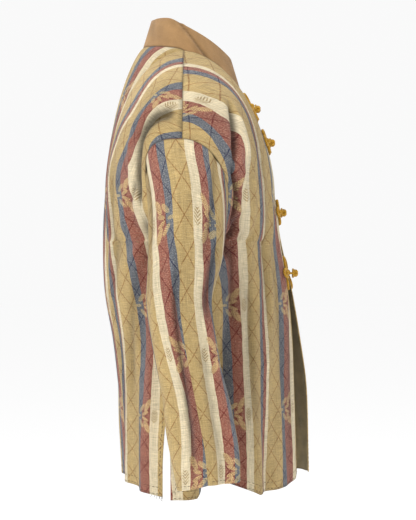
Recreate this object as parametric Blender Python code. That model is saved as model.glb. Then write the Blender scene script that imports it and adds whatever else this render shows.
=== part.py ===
"""Striped coat with a stand collar and cord frogs, worn with no wearer in it.

Metres, +Z up. The origin is the middle of the neck base, level with the neck points, where the
wearer's shoulders hold the coat. The wearer faces -Y, and the wearer's right side is -X.
Each panel is a wall of cloth through level sections of the body, and each sleeve is a wall
through rings that run from the armhole to the cuff.
"""
import math
from collections import namedtuple

import bpy
import bmesh
from mathutils import Vector

# Cloth and seams
WALL = 0.0015
COLLAR_WALL = 0.0026
SEAM_GAP = 0.0003
SLEEVE_SET_OFF = 0.00045
COLLAR_SET_OFF = 0.00042
EDGE_TOLERANCE = 0.001
FRONT_EDGE_X = 0.0009

# Levels down the body
ARMHOLE_MID_Z = -0.223
UNDERARM_Z = -0.300
VENT_TOP_Z = -0.530
VENT_FULL_Z = -0.660
HEM_Z = -0.700

# Neck and shoulder
NECK_HALF_WIDTH = 0.070
NECK_BACK_Y = 0.084
NECK_FRONT_Y = -0.078
SHOULDER_Y = 0.014
NECK_SHARE = 0.28
NECK_RISE_BACK = 0.55
NECK_RISE_FRONT = 1.15
NECK_REACH = 0.364
SHOULDER_REACH = 0.75
COLLAR_NARROWING = 0.90

# Armhole: the ring in which body and sleeve meet
ARMHOLE_MID_X = 0.2055
ARMHOLE_MID_Y = 0.006
ARMHOLE_RISE = 0.077
ARMHOLE_LEAN = 0.0225
ARMHOLE_HALF_WIDTH = 0.062

# Width of each half panel as it was cut, from its centre edge to its side edge
BACK_CUT = 0.262
FRONT_CUT = 0.300
BACK_SQUARENESS = 2.7
FRONT_SQUARENESS = 1.75

# Grid counts
BACK_COLUMNS = 13
FRONT_COLUMNS = 17
SHOULDER_ROWS = 6
ARMHOLE_ROWS = 6
BODY_ROWS = 12
SLEEVE_COLUMNS = 24
SLEEVE_ROWS = 17
COLLAR_ROWS = 3
FINE = 60

# Level sections of the body: the depth of the centre back and of each front edge, the half width
# at the side seam, and how far back of the middle the side seam lies.
Section = namedtuple("Section", "z back_y front_right_y front_left_y side_x side_y")
SECTIONS = [
    Section(-0.160, 0.1360, -0.1225, -0.1225, 0.2055, 0.003),
    Section(-0.223, 0.1435, -0.1360, -0.1360, 0.2055, 0.003),
    Section(-0.300, 0.1470, -0.1450, -0.1460, 0.1830, 0.006),
    Section(-0.380, 0.1440, -0.1590, -0.1640, 0.1800, 0.020),
    Section(-0.460, 0.1300, -0.1670, -0.1790, 0.1790, 0.032),
    Section(-0.530, 0.1235, -0.1700, -0.1900, 0.1790, 0.038),
    Section(-0.600, 0.1205, -0.1720, -0.1945, 0.1800, 0.039),
    Section(-0.700, 0.1160, -0.1740, -0.1960, 0.1820, 0.039),
]

# Side vents: how far each edge has swung from the seam's line at the hem
Vent = namedtuple("Vent", "back_swing front_swing")
VENT_RIGHT = Vent(0.006, 0.006)
VENT_LEFT = Vent(0.025, 0.005)

# Neck seam: its height at each depth, from the centre back to the centre front
NeckPoint = namedtuple("NeckPoint", "y z top_y top_z")
NECK_SEAM = [
    NeckPoint(0.084, 0.019, 0.0700, 0.0710),
    NeckPoint(0.040, 0.009, 0.0370, 0.0680),
    NeckPoint(0.0125, 0.000, 0.0130, 0.0520),
    NeckPoint(-0.036, -0.033, -0.0290, 0.0250),
    NeckPoint(-0.078, -0.048, -0.0640, 0.0060),
]

# Shoulder seam, from the neck point out and down to the top of the armhole
ShoulderPoint = namedtuple("ShoulderPoint", "x z")
SHOULDER_SEAM = [
    ShoulderPoint(0.0690, 0.000),
    ShoulderPoint(0.1130, -0.015),
    ShoulderPoint(0.1560, -0.033),
    ShoulderPoint(0.1910, -0.059),
    ShoulderPoint(0.2150, -0.098),
    ShoulderPoint(0.2280, -0.146),
]

# Sleeve rings: the outer and the inner line of the sleeve, its middle depth and half width
SleeveRing = namedtuple("SleeveRing", "outer_x outer_z inner_x inner_z mid_y half_width")
SLEEVE_RINGS = [
    SleeveRing(0.2280, -0.146, 0.1830, -0.300, 0.006, 0.0620),
    SleeveRing(0.2500, -0.190, 0.1895, -0.316, 0.006, 0.0605),
    SleeveRing(0.2680, -0.245, 0.1940, -0.338, 0.008, 0.0590),
    SleeveRing(0.2790, -0.310, 0.1965, -0.366, 0.012, 0.0565),
    SleeveRing(0.2830, -0.386, 0.1975, -0.410, 0.017, 0.0540),
    SleeveRing(0.2820, -0.460, 0.1980, -0.470, 0.010, 0.0530),
    SleeveRing(0.2790, -0.540, 0.1990, -0.545, -0.004, 0.0500),
    SleeveRing(0.2765, -0.610, 0.2005, -0.612, -0.018, 0.0490),
    SleeveRing(0.2750, -0.662, 0.2015, -0.658, -0.0245, 0.0460),
]

# Folds of the body panels. Across is the place on the cut panel from its centre edge, depth is
# inward, and a fold grows from its top to its full depth and stays so down to the hem.
Fold = namedtuple("Fold", "panel across lean top full depth half_width")
FOLDS = [
    Fold("front_right", 0.205, 0.015, -0.300, -0.700, 0.050, 0.026),
    Fold("front_right", 0.110, 0.010, -0.420, -0.690, 0.012, 0.020),
    Fold("front_right", 0.150, 0.005, -0.380, -0.640, -0.010, 0.022),
    Fold("front_left", 0.190, 0.010, -0.320, -0.700, 0.034, 0.026),
    Fold("front_left", 0.100, 0.005, -0.400, -0.680, 0.014, 0.024),
    Fold("front_left", 0.055, 0.010, -0.440, -0.680, -0.008, 0.022),
    Fold("back_right", 0.165, 0.000, -0.360, -0.640, 0.009, 0.018),
    Fold("back_right", 0.080, 0.010, -0.400, -0.660, 0.012, 0.026),
    Fold("back_right", 0.205, 0.010, -0.420, -0.660, -0.006, 0.016),
    Fold("back_left", 0.175, 0.000, -0.340, -0.640, 0.012, 0.020),
    Fold("back_left", 0.070, -0.010, -0.430, -0.660, 0.010, 0.026),
    Fold("back_left", 0.120, 0.000, -0.420, -0.660, -0.007, 0.020),
]

# Folds of the sleeves. Turn is the angle from the outer line, toward the back when positive.
SleeveFold = namedtuple("SleeveFold", "turn twist top full foot depth half_angle")
SLEEVE_FOLDS = [
    SleeveFold(24, 10, -0.200, -0.330, -0.560, 0.0075, 20),
    SleeveFold(-28, -8, -0.230, -0.400, -0.700, 0.0070, 18),
    SleeveFold(72, 14, -0.300, -0.400, -0.520, 0.0060, 20),
    SleeveFold(-92, 0, -0.320, -0.390, -0.470, 0.0080, 24),
    SleeveFold(128, 0, -0.340, -0.480, -0.640, 0.0050, 24),
]
SLEEVE_FOLD_FADE = 0.080
SLEEVE_CAP_RINGS = 2

# Frogs: where each pair sits down the front edges, and the sizes of their cord
FROG_LEVELS = [-0.0765, -0.133, -0.250, -0.351]
CORD_RADIUS = 0.0017
CORD_SIDES = 4
LOBE_LENGTH = 0.0165
LOBE_WIDTH = 0.0086
LOBE_CORE = 0.0034
LOBE_POINTS = 8
HUB_RADIUS = 0.0046
FROG_CENTRE = 0.0170
KNOT_RADIUS = 0.0052
KNOT_STAND = 0.0132
LOOP_RADIUS = 0.0058
LOOP_STAND = 0.0074
FROG_CLEARANCE = 0.0006
CORD_STAND = CORD_RADIUS + FROG_CLEARANCE
CORD_MIDDLE = 0.00935
CORD_BEND = Vector((0.0025, -0.0027, 0.0))
LOOP_END = 0.00512
LOOP_CORD_RADIUS = 0.00153
CLOTH_STEP = 0.006

RIGHT = -1
LEFT = 1

Finish = namedtuple("Finish", "name colour roughness")
STRIPED = Finish("striped_cloth", (0.42, 0.31, 0.17, 1.0), 0.85)
TAN = Finish("collar_cloth", (0.46, 0.30, 0.15, 1.0), 0.85)
CORD = Finish("frog_cord", (0.62, 0.36, 0.03, 1.0), 0.7)


def clear_scene():
    for item in list(bpy.data.objects):
        bpy.data.objects.remove(item, do_unlink=True)


def material(finish):
    """Each object gets a material of its own with one of the three finishes."""
    made = bpy.data.materials.new(finish.name)
    made.use_nodes = True
    shader = made.node_tree.nodes["Principled BSDF"]
    shader.inputs["Base Color"].default_value = finish.colour
    shader.inputs["Roughness"].default_value = finish.roughness
    shader.inputs["Metallic"].default_value = 0.0
    return made


def smoothstep(low, high, value):
    """A soft ramp from 0 at low to 1 at high, whichever of the two is larger."""
    share = min(max((value - low) / (high - low), 0.0), 1.0)
    return share * share * (3.0 - 2.0 * share)


def through(keys, values, at):
    """A smooth curve through the values at the keys, which may rise or fall."""
    if keys[0] > keys[-1]:
        keys = keys[::-1]
        values = values[::-1]
    at = min(max(at, keys[0]), keys[-1])
    last = len(keys) - 1
    i = 0
    while i < last - 1 and at > keys[i + 1]:
        i += 1
    span = keys[i + 1] - keys[i]
    share = (at - keys[i]) / span
    slope = (values[i + 1] - values[i]) / span
    before = slope if i == 0 else (values[i + 1] - values[i - 1]) / (keys[i + 1] - keys[i - 1])
    after = slope if i == last - 1 else (values[i + 2] - values[i]) / (keys[i + 2] - keys[i])
    s2 = share * share
    s3 = s2 * share
    return ((2 * s3 - 3 * s2 + 1) * values[i] + (s3 - 2 * s2 + share) * span * before
            + (3 * s2 - 2 * s3) * values[i + 1] + (s3 - s2) * span * after)


def section_value(column, z):
    return through([row.z for row in SECTIONS], [getattr(row, column) for row in SECTIONS], z)


def neck_point(y):
    """The neck seam at one depth, on the +X side."""
    keys = [row.y for row in NECK_SEAM]
    z = through(keys, [row.z for row in NECK_SEAM], y)
    depth = NECK_BACK_Y if y > 0 else -NECK_FRONT_Y
    share = min(max(y / depth, -1.0), 1.0)
    x = NECK_HALF_WIDTH * math.sqrt(1.0 - share * share)
    return Vector((x, y, z))


def spread(points, count):
    """The same run of points, evenly spaced along its length."""
    travelled = [0.0]
    for first, second in zip(points, points[1:]):
        travelled.append(travelled[-1] + (second - first).length)
    result = []
    j = 0
    for i in range(count + 1):
        want = travelled[-1] * i / count
        while j < len(points) - 2 and travelled[j + 1] < want:
            j += 1
        run = travelled[j + 1] - travelled[j]
        result.append(points[j].lerp(points[j + 1], (want - travelled[j]) / run))
    return result


def top_edge(is_back, count):
    """Neck seam and shoulder seam of a half panel, from its centre edge to the armhole."""
    start = 0.0 if is_back else math.pi
    end = math.acos(SHOULDER_Y / NECK_BACK_Y)
    neck = []
    for i in range(FINE + 1):
        angle = start + (end - start) * i / FINE
        depth = NECK_BACK_Y if math.cos(angle) > 0 else -NECK_FRONT_Y
        neck.append(neck_point(depth * math.cos(angle)))
    keys = [row.x for row in SHOULDER_SEAM]
    heights = [row.z for row in SHOULDER_SEAM]
    shift = SEAM_GAP / 2 if is_back else -SEAM_GAP / 2
    shoulder = []
    for i in range(FINE + 1):
        x = keys[0] + (keys[-1] - keys[0]) * i / FINE
        shoulder.append(Vector((x, SHOULDER_Y + shift, through(keys, heights, x))))
    neck[0].x = 0.0 if is_back else FRONT_EDGE_X
    neck[-1].y = SHOULDER_Y + shift
    neck_count = round(count * NECK_SHARE)
    return spread(neck, neck_count)[:-1] + spread(shoulder, count - neck_count)


def armhole_point(turn, is_back):
    """A point of the armhole ring, turn radians from its top, on the +X side."""
    sign = 1.0 if is_back else -1.0
    lean = math.cos(turn)
    top_share = max(lean, 0.0)
    y = ARMHOLE_MID_Y * (1 - top_share) + SHOULDER_Y * top_share
    y += sign * (ARMHOLE_HALF_WIDTH * math.sin(turn) + SEAM_GAP / 2)
    return Vector((ARMHOLE_MID_X + ARMHOLE_LEAN * lean, y, ARMHOLE_MID_Z + ARMHOLE_RISE * lean))


def side_point(side, is_back, z):
    """Where a level row of a panel ends: on the armhole, the side seam or the vent's edge."""
    if z > UNDERARM_Z:
        cosine = min(max((z - ARMHOLE_MID_Z) / ARMHOLE_RISE, -1.0), 1.0)
        return armhole_point(math.acos(cosine), is_back)
    vent = VENT_RIGHT if side == RIGHT else VENT_LEFT
    swing = vent.back_swing if is_back else -vent.front_swing
    gap = SEAM_GAP / 2 if is_back else -SEAM_GAP / 2
    y = section_value("side_y", z) + gap + swing * smoothstep(VENT_TOP_Z, VENT_FULL_Z, z)
    return Vector((section_value("side_x", z), y, z))


def level_row(side, is_back, z, count):
    """One level row of a half panel from its centre edge to its side edge, on the +X side.

    The row is part of a squared ellipse round the body, which the armhole cuts short.
    """
    end = side_point(side, is_back, z)
    if is_back:
        centre_y = section_value("back_y", z)
        squareness = BACK_SQUARENESS
        edge_x = 0.0
    else:
        centre_y = section_value("front_right_y" if side == RIGHT else "front_left_y", z)
        squareness = FRONT_SQUARENESS
        edge_x = FRONT_EDGE_X
    base_y = ARMHOLE_MID_Y if z > UNDERARM_Z else end.y
    cut = ((end.y - base_y) / (centre_y - base_y)) ** squareness
    kept = (1.0 - cut) ** (1.0 / squareness)
    reach = (end.x - edge_x) / kept
    power = 2.0 / squareness
    stop = math.asin(min(kept ** (1.0 / power), 1.0))
    run = []
    for i in range(FINE + 1):
        angle = stop * i / FINE
        x = edge_x + reach * math.sin(angle) ** power
        y = base_y + (centre_y - base_y) * max(math.cos(angle), 0.0) ** power
        run.append(Vector((x, y, z)))
    run[-1] = end
    return spread(run, count)


def panel_rows(side, is_back, count):
    """Rows of a half panel from its top edge to its hem, on the +X side."""
    top = top_edge(is_back, count)
    mid = level_row(side, is_back, ARMHOLE_MID_Z, count)
    rows = []
    for i in range(SHOULDER_ROWS):
        turn = math.pi / 2 * i / SHOULDER_ROWS
        row = []
        for j in range(count + 1):
            across = j / count
            rise = NECK_RISE_BACK if is_back else NECK_RISE_FRONT
            bend = 1.0 + rise * (1.0 - smoothstep(0.0, NECK_REACH, across))
            point = top[j].lerp(mid[j], 1.0 - math.cos(turn))
            base = top[j].y + (ARMHOLE_MID_Y - top[j].y) * smoothstep(SHOULDER_REACH, 1.0, across)
            point.y = base + (top[j].y - base) * math.cos(turn)
            point.y += (mid[j].y - base) * math.sin(turn) ** bend
            row.append(point)
        rows.append(row)
    for i in range(ARMHOLE_ROWS):
        turn = math.pi / 2 * (1 + i / ARMHOLE_ROWS)
        rows.append(level_row(side, is_back, ARMHOLE_MID_Z + ARMHOLE_RISE * math.cos(turn), count))
    for i in range(BODY_ROWS + 1):
        rows.append(level_row(side, is_back, UNDERARM_Z + (HEM_Z - UNDERARM_Z) * i / BODY_ROWS, count))
    return rows


def row_normals(rows, closed=False):
    """Outward normals of a grid whose rows run down and whose columns run toward its side."""
    result = []
    last_row = len(rows) - 1
    width = len(rows[0])
    for i, row in enumerate(rows):
        normals = []
        for j in range(width):
            if closed:
                ahead = row[(j + 1) % width]
                behind = row[j - 1]
            else:
                ahead = row[min(j + 1, width - 1)]
                behind = row[max(j - 1, 0)]
            across = ahead - behind
            down = rows[min(i + 1, last_row)][j] - rows[max(i - 1, 0)][j]
            normals.append(across.cross(down).normalized())
        result.append(normals)
    return result


def fold_depth(panel, across, z):
    total = 0.0
    for fold in FOLDS:
        if fold.panel != panel or z > fold.top:
            continue
        grown = smoothstep(fold.top, fold.full, z)
        place = fold.across + fold.lean * grown
        total += fold.depth * grown * math.exp(-((across - place) / fold.half_width) ** 2)
    return total


def folded(panel, rows, normals, cut):
    """The rows moved inward by the panel's folds. A fold is level, so it keeps the hem even."""
    result = []
    count = len(rows[0]) - 1
    for row, row_normal in zip(rows, normals):
        new_row = []
        for j, point in enumerate(row):
            level = Vector((row_normal[j].x, row_normal[j].y, 0.0))
            depth = fold_depth(panel, cut * j / count, point.z)
            new_row.append(point - level * depth)
        result.append(new_row)
    return result


def mirrored(rows, side):
    """Rows on the +X side as they are, or mirrored to -X."""
    if side == LEFT:
        return rows
    return [[Vector((-p.x, p.y, p.z)) for p in row] for row in rows]


def reversed_rows(rows):
    return [row[::-1] for row in rows]


def on_seam(point):
    """Whether a panel's edge point lies on the shoulder seam, the armhole or the side seam."""
    return abs(point.x) > SHOULDER_SEAM[0].x - EDGE_TOLERANCE


def seam_normals(outer, normals):
    """Edge normals without a part toward the panel across the seam, so that the rims stay apart."""
    edges = [(0, j) for j in range(len(outer[0]))]
    for i in range(len(outer)):
        edges.append((i, 0))
        edges.append((i, len(outer[0]) - 1))
    for i, j in edges:
        if on_seam(outer[i][j]):
            normal = normals[i][j]
            normals[i][j] = Vector((normal.x, 0.0, normal.z)).normalized()
    return normals


def shell(name, outer, wall, finish, closed=False, panel=False):
    """A wall of cloth: the outer grid, an inner grid a wall away, and rims along its edges."""
    normals = row_normals(outer, closed)
    if panel:
        normals = seam_normals(outer, normals)
    mesh = bmesh.new()
    layers = []
    for depth in (0.0, wall):
        grid = []
        for row, row_normal in zip(outer, normals):
            grid.append([mesh.verts.new(p - n * depth) for p, n in zip(row, row_normal)])
        layers.append(grid)
    outside, inside = layers
    height = len(outer) - 1
    width = len(outer[0])
    spans = width if closed else width - 1
    for i in range(height):
        for j in range(spans):
            k = (j + 1) % width
            mesh.faces.new((outside[i][j], outside[i + 1][j], outside[i + 1][k], outside[i][k]))
            mesh.faces.new((inside[i][j], inside[i][k], inside[i + 1][k], inside[i + 1][j]))
    for j in range(spans):
        k = (j + 1) % width
        mesh.faces.new((outside[0][j], outside[0][k], inside[0][k], inside[0][j]))
        mesh.faces.new((outside[height][j], inside[height][j], inside[height][k], outside[height][k]))
    if not closed:
        for i in range(height):
            mesh.faces.new((outside[i][0], inside[i][0], inside[i + 1][0], outside[i + 1][0]))
            mesh.faces.new((outside[i][-1], outside[i + 1][-1], inside[i + 1][-1], inside[i][-1]))
    bmesh.ops.recalc_face_normals(mesh, faces=mesh.faces[:])
    bmesh.ops.triangulate(mesh, faces=mesh.faces[:], quad_method="SHORT_EDGE")
    return add_object(name, mesh, finish)


def add_object(name, mesh, finish):
    data = bpy.data.meshes.new(name)
    mesh.to_mesh(data)
    mesh.free()
    data.materials.append(material(finish))
    data.shade_smooth()
    data.set_sharp_from_angle(angle=math.radians(40))
    item = bpy.data.objects.new(name, data)
    bpy.context.scene.collection.objects.link(item)
    return item


def half_panel(side, is_back):
    """A folded half panel, its columns running from the centre edge to the side edge."""
    count = BACK_COLUMNS if is_back else FRONT_COLUMNS
    cut = BACK_CUT if is_back else FRONT_CUT
    rows = panel_rows(side, is_back, count)
    outward = 1.0 if is_back else -1.0
    normals = [[n * outward for n in row] for row in row_normals(rows)]
    name = ("back_" if is_back else "front_") + ("right" if side == RIGHT else "left")
    return mirrored(folded(name, rows, normals, cut), side)


def make_back():
    right = reversed_rows(half_panel(RIGHT, True))
    left = half_panel(LEFT, True)
    rows = [right_row + left_row[1:] for right_row, left_row in zip(right, left)]
    shell("back", rows, WALL, STRIPED, panel=True)


def make_front(side):
    rows = half_panel(side, False)
    if side == LEFT:
        shell("front_left", reversed_rows(rows), WALL, STRIPED, panel=True)
    else:
        shell("front_right", rows, WALL, STRIPED, panel=True)


def sleeve_rings():
    """Rings of the +X sleeve, from the armhole to the cuff, turning from its outer line forward."""
    rings = []
    last = len(SLEEVE_RINGS) - 1
    keys = list(range(last + 1))
    seam = Vector((ARMHOLE_RISE, 0.0, -ARMHOLE_LEAN)).normalized() * SLEEVE_SET_OFF
    for i in range(SLEEVE_ROWS + 1):
        at = last * i / SLEEVE_ROWS
        values = [through(keys, [row[column] for row in SLEEVE_RINGS], at) for column in range(6)]
        outer = Vector((values[0], 0.0, values[1]))
        inner = Vector((values[2], 0.0, values[3]))
        middle = (outer + inner) / 2
        reach = (outer - inner) / 2
        ring = []
        for j in range(SLEEVE_COLUMNS):
            angle = 2 * math.pi * j / SLEEVE_COLUMNS
            point = middle + reach * math.cos(angle)
            top_share = max(math.cos(angle), 0.0) * (1 - smoothstep(0, SLEEVE_CAP_RINGS, at))
            point.y = values[4] * (1 - top_share) + SHOULDER_Y * top_share - values[5] * math.sin(angle)
            ring.append(point + seam)
        rings.append(ring)
    return rings


def sleeve_fold_depth(turn, z):
    total = 0.0
    for fold in SLEEVE_FOLDS:
        grown = smoothstep(fold.top, fold.full, z) * smoothstep(fold.foot - SLEEVE_FOLD_FADE, fold.foot, z)
        place = fold.turn + fold.twist * smoothstep(fold.top, fold.foot, z)
        away = (turn - place + 180) % 360 - 180
        total += fold.depth * grown * math.exp(-(away / fold.half_angle) ** 2)
    return total


def make_sleeve(side):
    rings = sleeve_rings()
    normals = row_normals(rings, closed=True)
    moved = []
    for ring, ring_normals in zip(rings, normals):
        new_ring = []
        for j, point in enumerate(ring):
            turn = -360.0 * j / SLEEVE_COLUMNS
            new_ring.append(point - ring_normals[j] * sleeve_fold_depth(turn, point.z))
        moved.append(new_ring)
    if side == LEFT:
        shell("sleeve_left", moved, WALL, STRIPED, closed=True)
    else:
        shell("sleeve_right", reversed_rows(mirrored(moved, RIGHT)), WALL, STRIPED, closed=True)


def neck_line():
    """The neck seam on the +X side, from the centre front to the centre back."""
    front = top_edge(False, FRONT_COLUMNS)[:round(FRONT_COLUMNS * NECK_SHARE) + 1]
    back = top_edge(True, BACK_COLUMNS)[:round(BACK_COLUMNS * NECK_SHARE) + 1]
    front[-1].y = SHOULDER_Y
    corners = front + back[-2::-1]
    line = []
    for first, second in zip(corners, corners[1:]):
        line.append(first)
        line.append(first.lerp(second, 0.5))
    return line + [corners[-1]]


def collar_top(foot):
    """Where the collar's top edge lies above a point of its foot."""
    keys = [row.y for row in NECK_SEAM]
    top_y = through(keys, [row.top_y for row in NECK_SEAM], foot.y)
    top_z = through(keys, [row.top_z for row in NECK_SEAM], foot.y)
    return Vector((max(foot.x * COLLAR_NARROWING, min(foot.x, FRONT_EDGE_X)), top_y, top_z))


def make_collar():
    line = neck_line()
    rows = []
    for i in range(COLLAR_ROWS + 1):
        row = []
        for foot in line:
            top = collar_top(foot)
            start = foot + (top - foot).normalized() * COLLAR_SET_OFF
            row.append(top.lerp(start, i / COLLAR_ROWS))
        right = mirrored([row], RIGHT)[0]
        rows.append(right + row[-2::-1])
    shell("collar", rows, COLLAR_WALL, TAN)


def spot(rows, across, z):
    """The point of a front panel at a distance from its edge, at one height."""
    count = len(rows[0]) - 1
    place = min(max(across, 0.0) / FRONT_CUT * count, count - 0.001)
    j = int(place)
    ends = []
    for column in (j, j + 1):
        line = [row[column] for row in rows]
        i = 0
        while i < len(line) - 2 and line[i + 1].z > z:
            i += 1
        share = (line[i].z - z) / max(line[i].z - line[i + 1].z, 1e-9)
        ends.append(line[i].lerp(line[i + 1], min(max(share, 0.0), 1.0)))
    return ends[0].lerp(ends[1], place - j)


def above_cloth(rows, side, across, z, height):
    """A point that stands a height off a front panel."""
    away = spot(rows, across + CLOTH_STEP, z) - spot(rows, max(across - CLOTH_STEP, 0.0), z)
    up = spot(rows, across, z + CLOTH_STEP) - spot(rows, across, z - CLOTH_STEP)
    out = away.cross(up).normalized() * side
    return spot(rows, across, z) + out * height


def tube(points, radius, closed=False):
    """A cord along points, as a closed mesh with capped ends or joined round."""
    mesh = bmesh.new()
    rings = []
    total = len(points)
    normal = None
    for i, point in enumerate(points):
        before = points[i - 1] if closed or i > 0 else point
        after = points[(i + 1) % total] if closed or i < total - 1 else point
        along = (after - before).normalized()
        if normal is None:
            normal = along.orthogonal().normalized()
        normal = (normal - along * normal.dot(along)).normalized()
        beside = along.cross(normal)
        ring = []
        for k in range(CORD_SIDES):
            angle = 2 * math.pi * k / CORD_SIDES
            offset = normal * math.cos(angle) + beside * math.sin(angle)
            ring.append(mesh.verts.new(point + offset * radius))
        rings.append(ring)
    pairs = list(zip(rings, rings[1:]))
    if closed:
        pairs.append((rings[-1], rings[0]))
    for first, second in pairs:
        for k in range(CORD_SIDES):
            n = (k + 1) % CORD_SIDES
            mesh.faces.new((first[k], first[n], second[n], second[k]))
    if not closed:
        mesh.faces.new(rings[0][::-1])
        mesh.faces.new(rings[-1])
    bmesh.ops.recalc_face_normals(mesh, faces=mesh.faces[:])
    return mesh


def ring_points(centre, first, second, radius, count):
    points = []
    for i in range(count):
        angle = 2 * math.pi * i / count
        points.append(centre + (first * math.cos(angle) + second * math.sin(angle)) * radius)
    return points


def ball(centre, radius):
    mesh = bmesh.new()
    bmesh.ops.create_icosphere(mesh, subdivisions=1, radius=radius)
    bmesh.ops.translate(mesh, verts=mesh.verts[:], vec=centre)
    return mesh


def united(name, meshes, finish):
    """One closed body from several that overlap."""
    items = [add_object(name + "_" + str(i), mesh, finish) for i, mesh in enumerate(meshes)]
    first = items[0]
    for other in items[1:]:
        join = first.modifiers.new("join", "BOOLEAN")
        join.operation = "UNION"
        join.solver = "EXACT"
        join.object = other
        bpy.context.view_layer.update()
        graph = bpy.context.evaluated_depsgraph_get()
        joined = bpy.data.meshes.new_from_object(first.evaluated_get(graph))
        first.modifiers.clear()
        first.data = joined
        bpy.data.objects.remove(other, do_unlink=True)
    first.name = name
    first.data.name = name
    return first


def lobe_points(rows, side, z, turn):
    """One lobe of cord laid on the cloth, pointing up (0), away from the edge (1) or down (2)."""
    points = []
    for i in range(LOBE_POINTS):
        angle = 2 * math.pi * i / LOBE_POINTS
        reach = LOBE_CORE + LOBE_LENGTH / 2 * (1 - math.cos(angle))
        aside = LOBE_WIDTH / 2 * math.sin(angle)
        if turn == 1:
            away, rise = reach, aside
        else:
            away, rise = aside, reach * (1 - turn)
        points.append(above_cloth(rows, side, FROG_CENTRE + away, z + rise, CORD_STAND))
    return points


def make_frog(number, side, rows, z, edge_y):
    """The looped ornament on one front, with the knot (left) or the loop that takes it (right)."""
    hub = above_cloth(rows, side, FROG_CENTRE, z, HUB_RADIUS + FROG_CLEARANCE)
    meshes = [ball(hub, HUB_RADIUS)]
    for turn in range(3):
        meshes.append(tube(lobe_points(rows, side, z, turn), CORD_RADIUS, closed=True))
    forward = Vector((0.0, -1.0, 0.0))
    front = Vector((0.0, edge_y, z))
    start = above_cloth(rows, side, FROG_CENTRE, z, CORD_STAND)
    mid = above_cloth(rows, side, CORD_MIDDLE, z, CORD_STAND)
    if side == LEFT:
        knot = front + forward * KNOT_STAND
        meshes.append(tube([start, mid, front + CORD_BEND, knot], CORD_RADIUS))
        meshes.append(ball(knot, KNOT_RADIUS))
        united("frog_%d_knot" % number, meshes, CORD)
    else:
        eye = front + forward * LOOP_STAND
        across = Vector((1.0, 0.0, 0.0))
        loop = ring_points(eye, across, Vector((0.0, 0.0, 1.0)), LOOP_RADIUS, LOBE_POINTS)
        meshes.append(tube(loop, CORD_RADIUS, closed=True))
        meshes.append(tube([start, mid, eye - across * LOOP_END], LOOP_CORD_RADIUS))
        united("frog_%d_loop" % number, meshes, CORD)


def make_frogs():
    right = half_panel(RIGHT, False)
    left = half_panel(LEFT, False)
    for i, z in enumerate(FROG_LEVELS):
        edge_y = min(spot(right, 0.0, z).y, spot(left, 0.0, z).y)
        make_frog(i + 1, RIGHT, right, z, edge_y)
        make_frog(i + 1, LEFT, left, z, edge_y)


def main():
    clear_scene()
    make_back()
    for side in (RIGHT, LEFT):
        make_front(side)
        make_sleeve(side)
    make_collar()
    make_frogs()


main()
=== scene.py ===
import math
from collections import namedtuple

import bpy
import numpy as np
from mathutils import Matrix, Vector


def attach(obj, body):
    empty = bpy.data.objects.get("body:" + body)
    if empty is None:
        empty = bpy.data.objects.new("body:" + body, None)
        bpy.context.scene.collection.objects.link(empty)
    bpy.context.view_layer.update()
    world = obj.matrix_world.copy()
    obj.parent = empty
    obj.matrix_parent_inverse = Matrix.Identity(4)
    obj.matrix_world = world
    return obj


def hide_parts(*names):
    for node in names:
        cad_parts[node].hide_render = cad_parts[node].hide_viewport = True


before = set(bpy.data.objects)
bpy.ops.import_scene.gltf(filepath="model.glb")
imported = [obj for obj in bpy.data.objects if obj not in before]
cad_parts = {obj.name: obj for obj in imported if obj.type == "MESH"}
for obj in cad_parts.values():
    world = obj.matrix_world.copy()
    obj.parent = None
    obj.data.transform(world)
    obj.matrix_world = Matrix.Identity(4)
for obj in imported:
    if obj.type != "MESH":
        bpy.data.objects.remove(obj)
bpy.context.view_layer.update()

bl_info = {
    "name": "Striped Coat",
    "version": (1, 0, 0),
    "blender": (4, 5, 0),
    "location": "3D View > Sidebar > Coat",
    "description": "Dresses the striped coat in folded cloth with woven stripes, stitching and cord frogs",
    "category": "Object",
}

RIGHT = -1
LEFT = 1
MIRROR = np.array([-1.0, 1.0, 1.0])
SEAM_GAP = 0.0003
FRONT_EDGE_X = 0.0009

# Levels down the body, as in the solids
ARMHOLE_MID_Z = -0.223
UNDERARM_Z = -0.300
VENT_TOP_Z = -0.530
VENT_FULL_Z = -0.660
HEM_Z = -0.700

# Neck, shoulder and armhole, as in the solids
NECK_HALF_WIDTH = 0.070
NECK_BACK_Y = 0.084
NECK_FRONT_Y = -0.078
SHOULDER_Y = 0.014
NECK_SHARE = 0.28
NECK_RISE_BACK = 0.55
NECK_RISE_FRONT = 1.15
COLLAR_NARROWING = 0.90
COLLAR_HEIGHT = 0.052
ARMHOLE_MID_X = 0.2055
ARMHOLE_MID_Y = 0.006
ARMHOLE_RISE = 0.077
ARMHOLE_LEAN = 0.0225
ARMHOLE_HALF_WIDTH = 0.062
BACK_RING_POWER = 3.3

BACK_CUT = 0.262
FRONT_CUT = 0.300
BACK_SQUARENESS = 2.7
FRONT_SQUARENESS = 1.75

Section = namedtuple("Section", "z back_y front_right_y front_left_y side_x side_y")
SECTIONS = [
    Section(-0.160, 0.1360, -0.1225, -0.1225, 0.2055, 0.003),
    Section(-0.223, 0.1435, -0.1360, -0.1360, 0.2055, 0.003),
    Section(-0.300, 0.1470, -0.1450, -0.1460, 0.1830, 0.006),
    Section(-0.380, 0.1440, -0.1590, -0.1640, 0.1800, 0.020),
    Section(-0.460, 0.1300, -0.1670, -0.1790, 0.1790, 0.032),
    Section(-0.530, 0.1235, -0.1700, -0.1900, 0.1790, 0.038),
    Section(-0.600, 0.1205, -0.1720, -0.1945, 0.1800, 0.039),
    Section(-0.700, 0.1160, -0.1740, -0.1960, 0.1820, 0.039),
]
Vent = namedtuple("Vent", "back_swing front_swing")
VENTS = {RIGHT: Vent(0.006, 0.006), LEFT: Vent(0.025, 0.005)}

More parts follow.
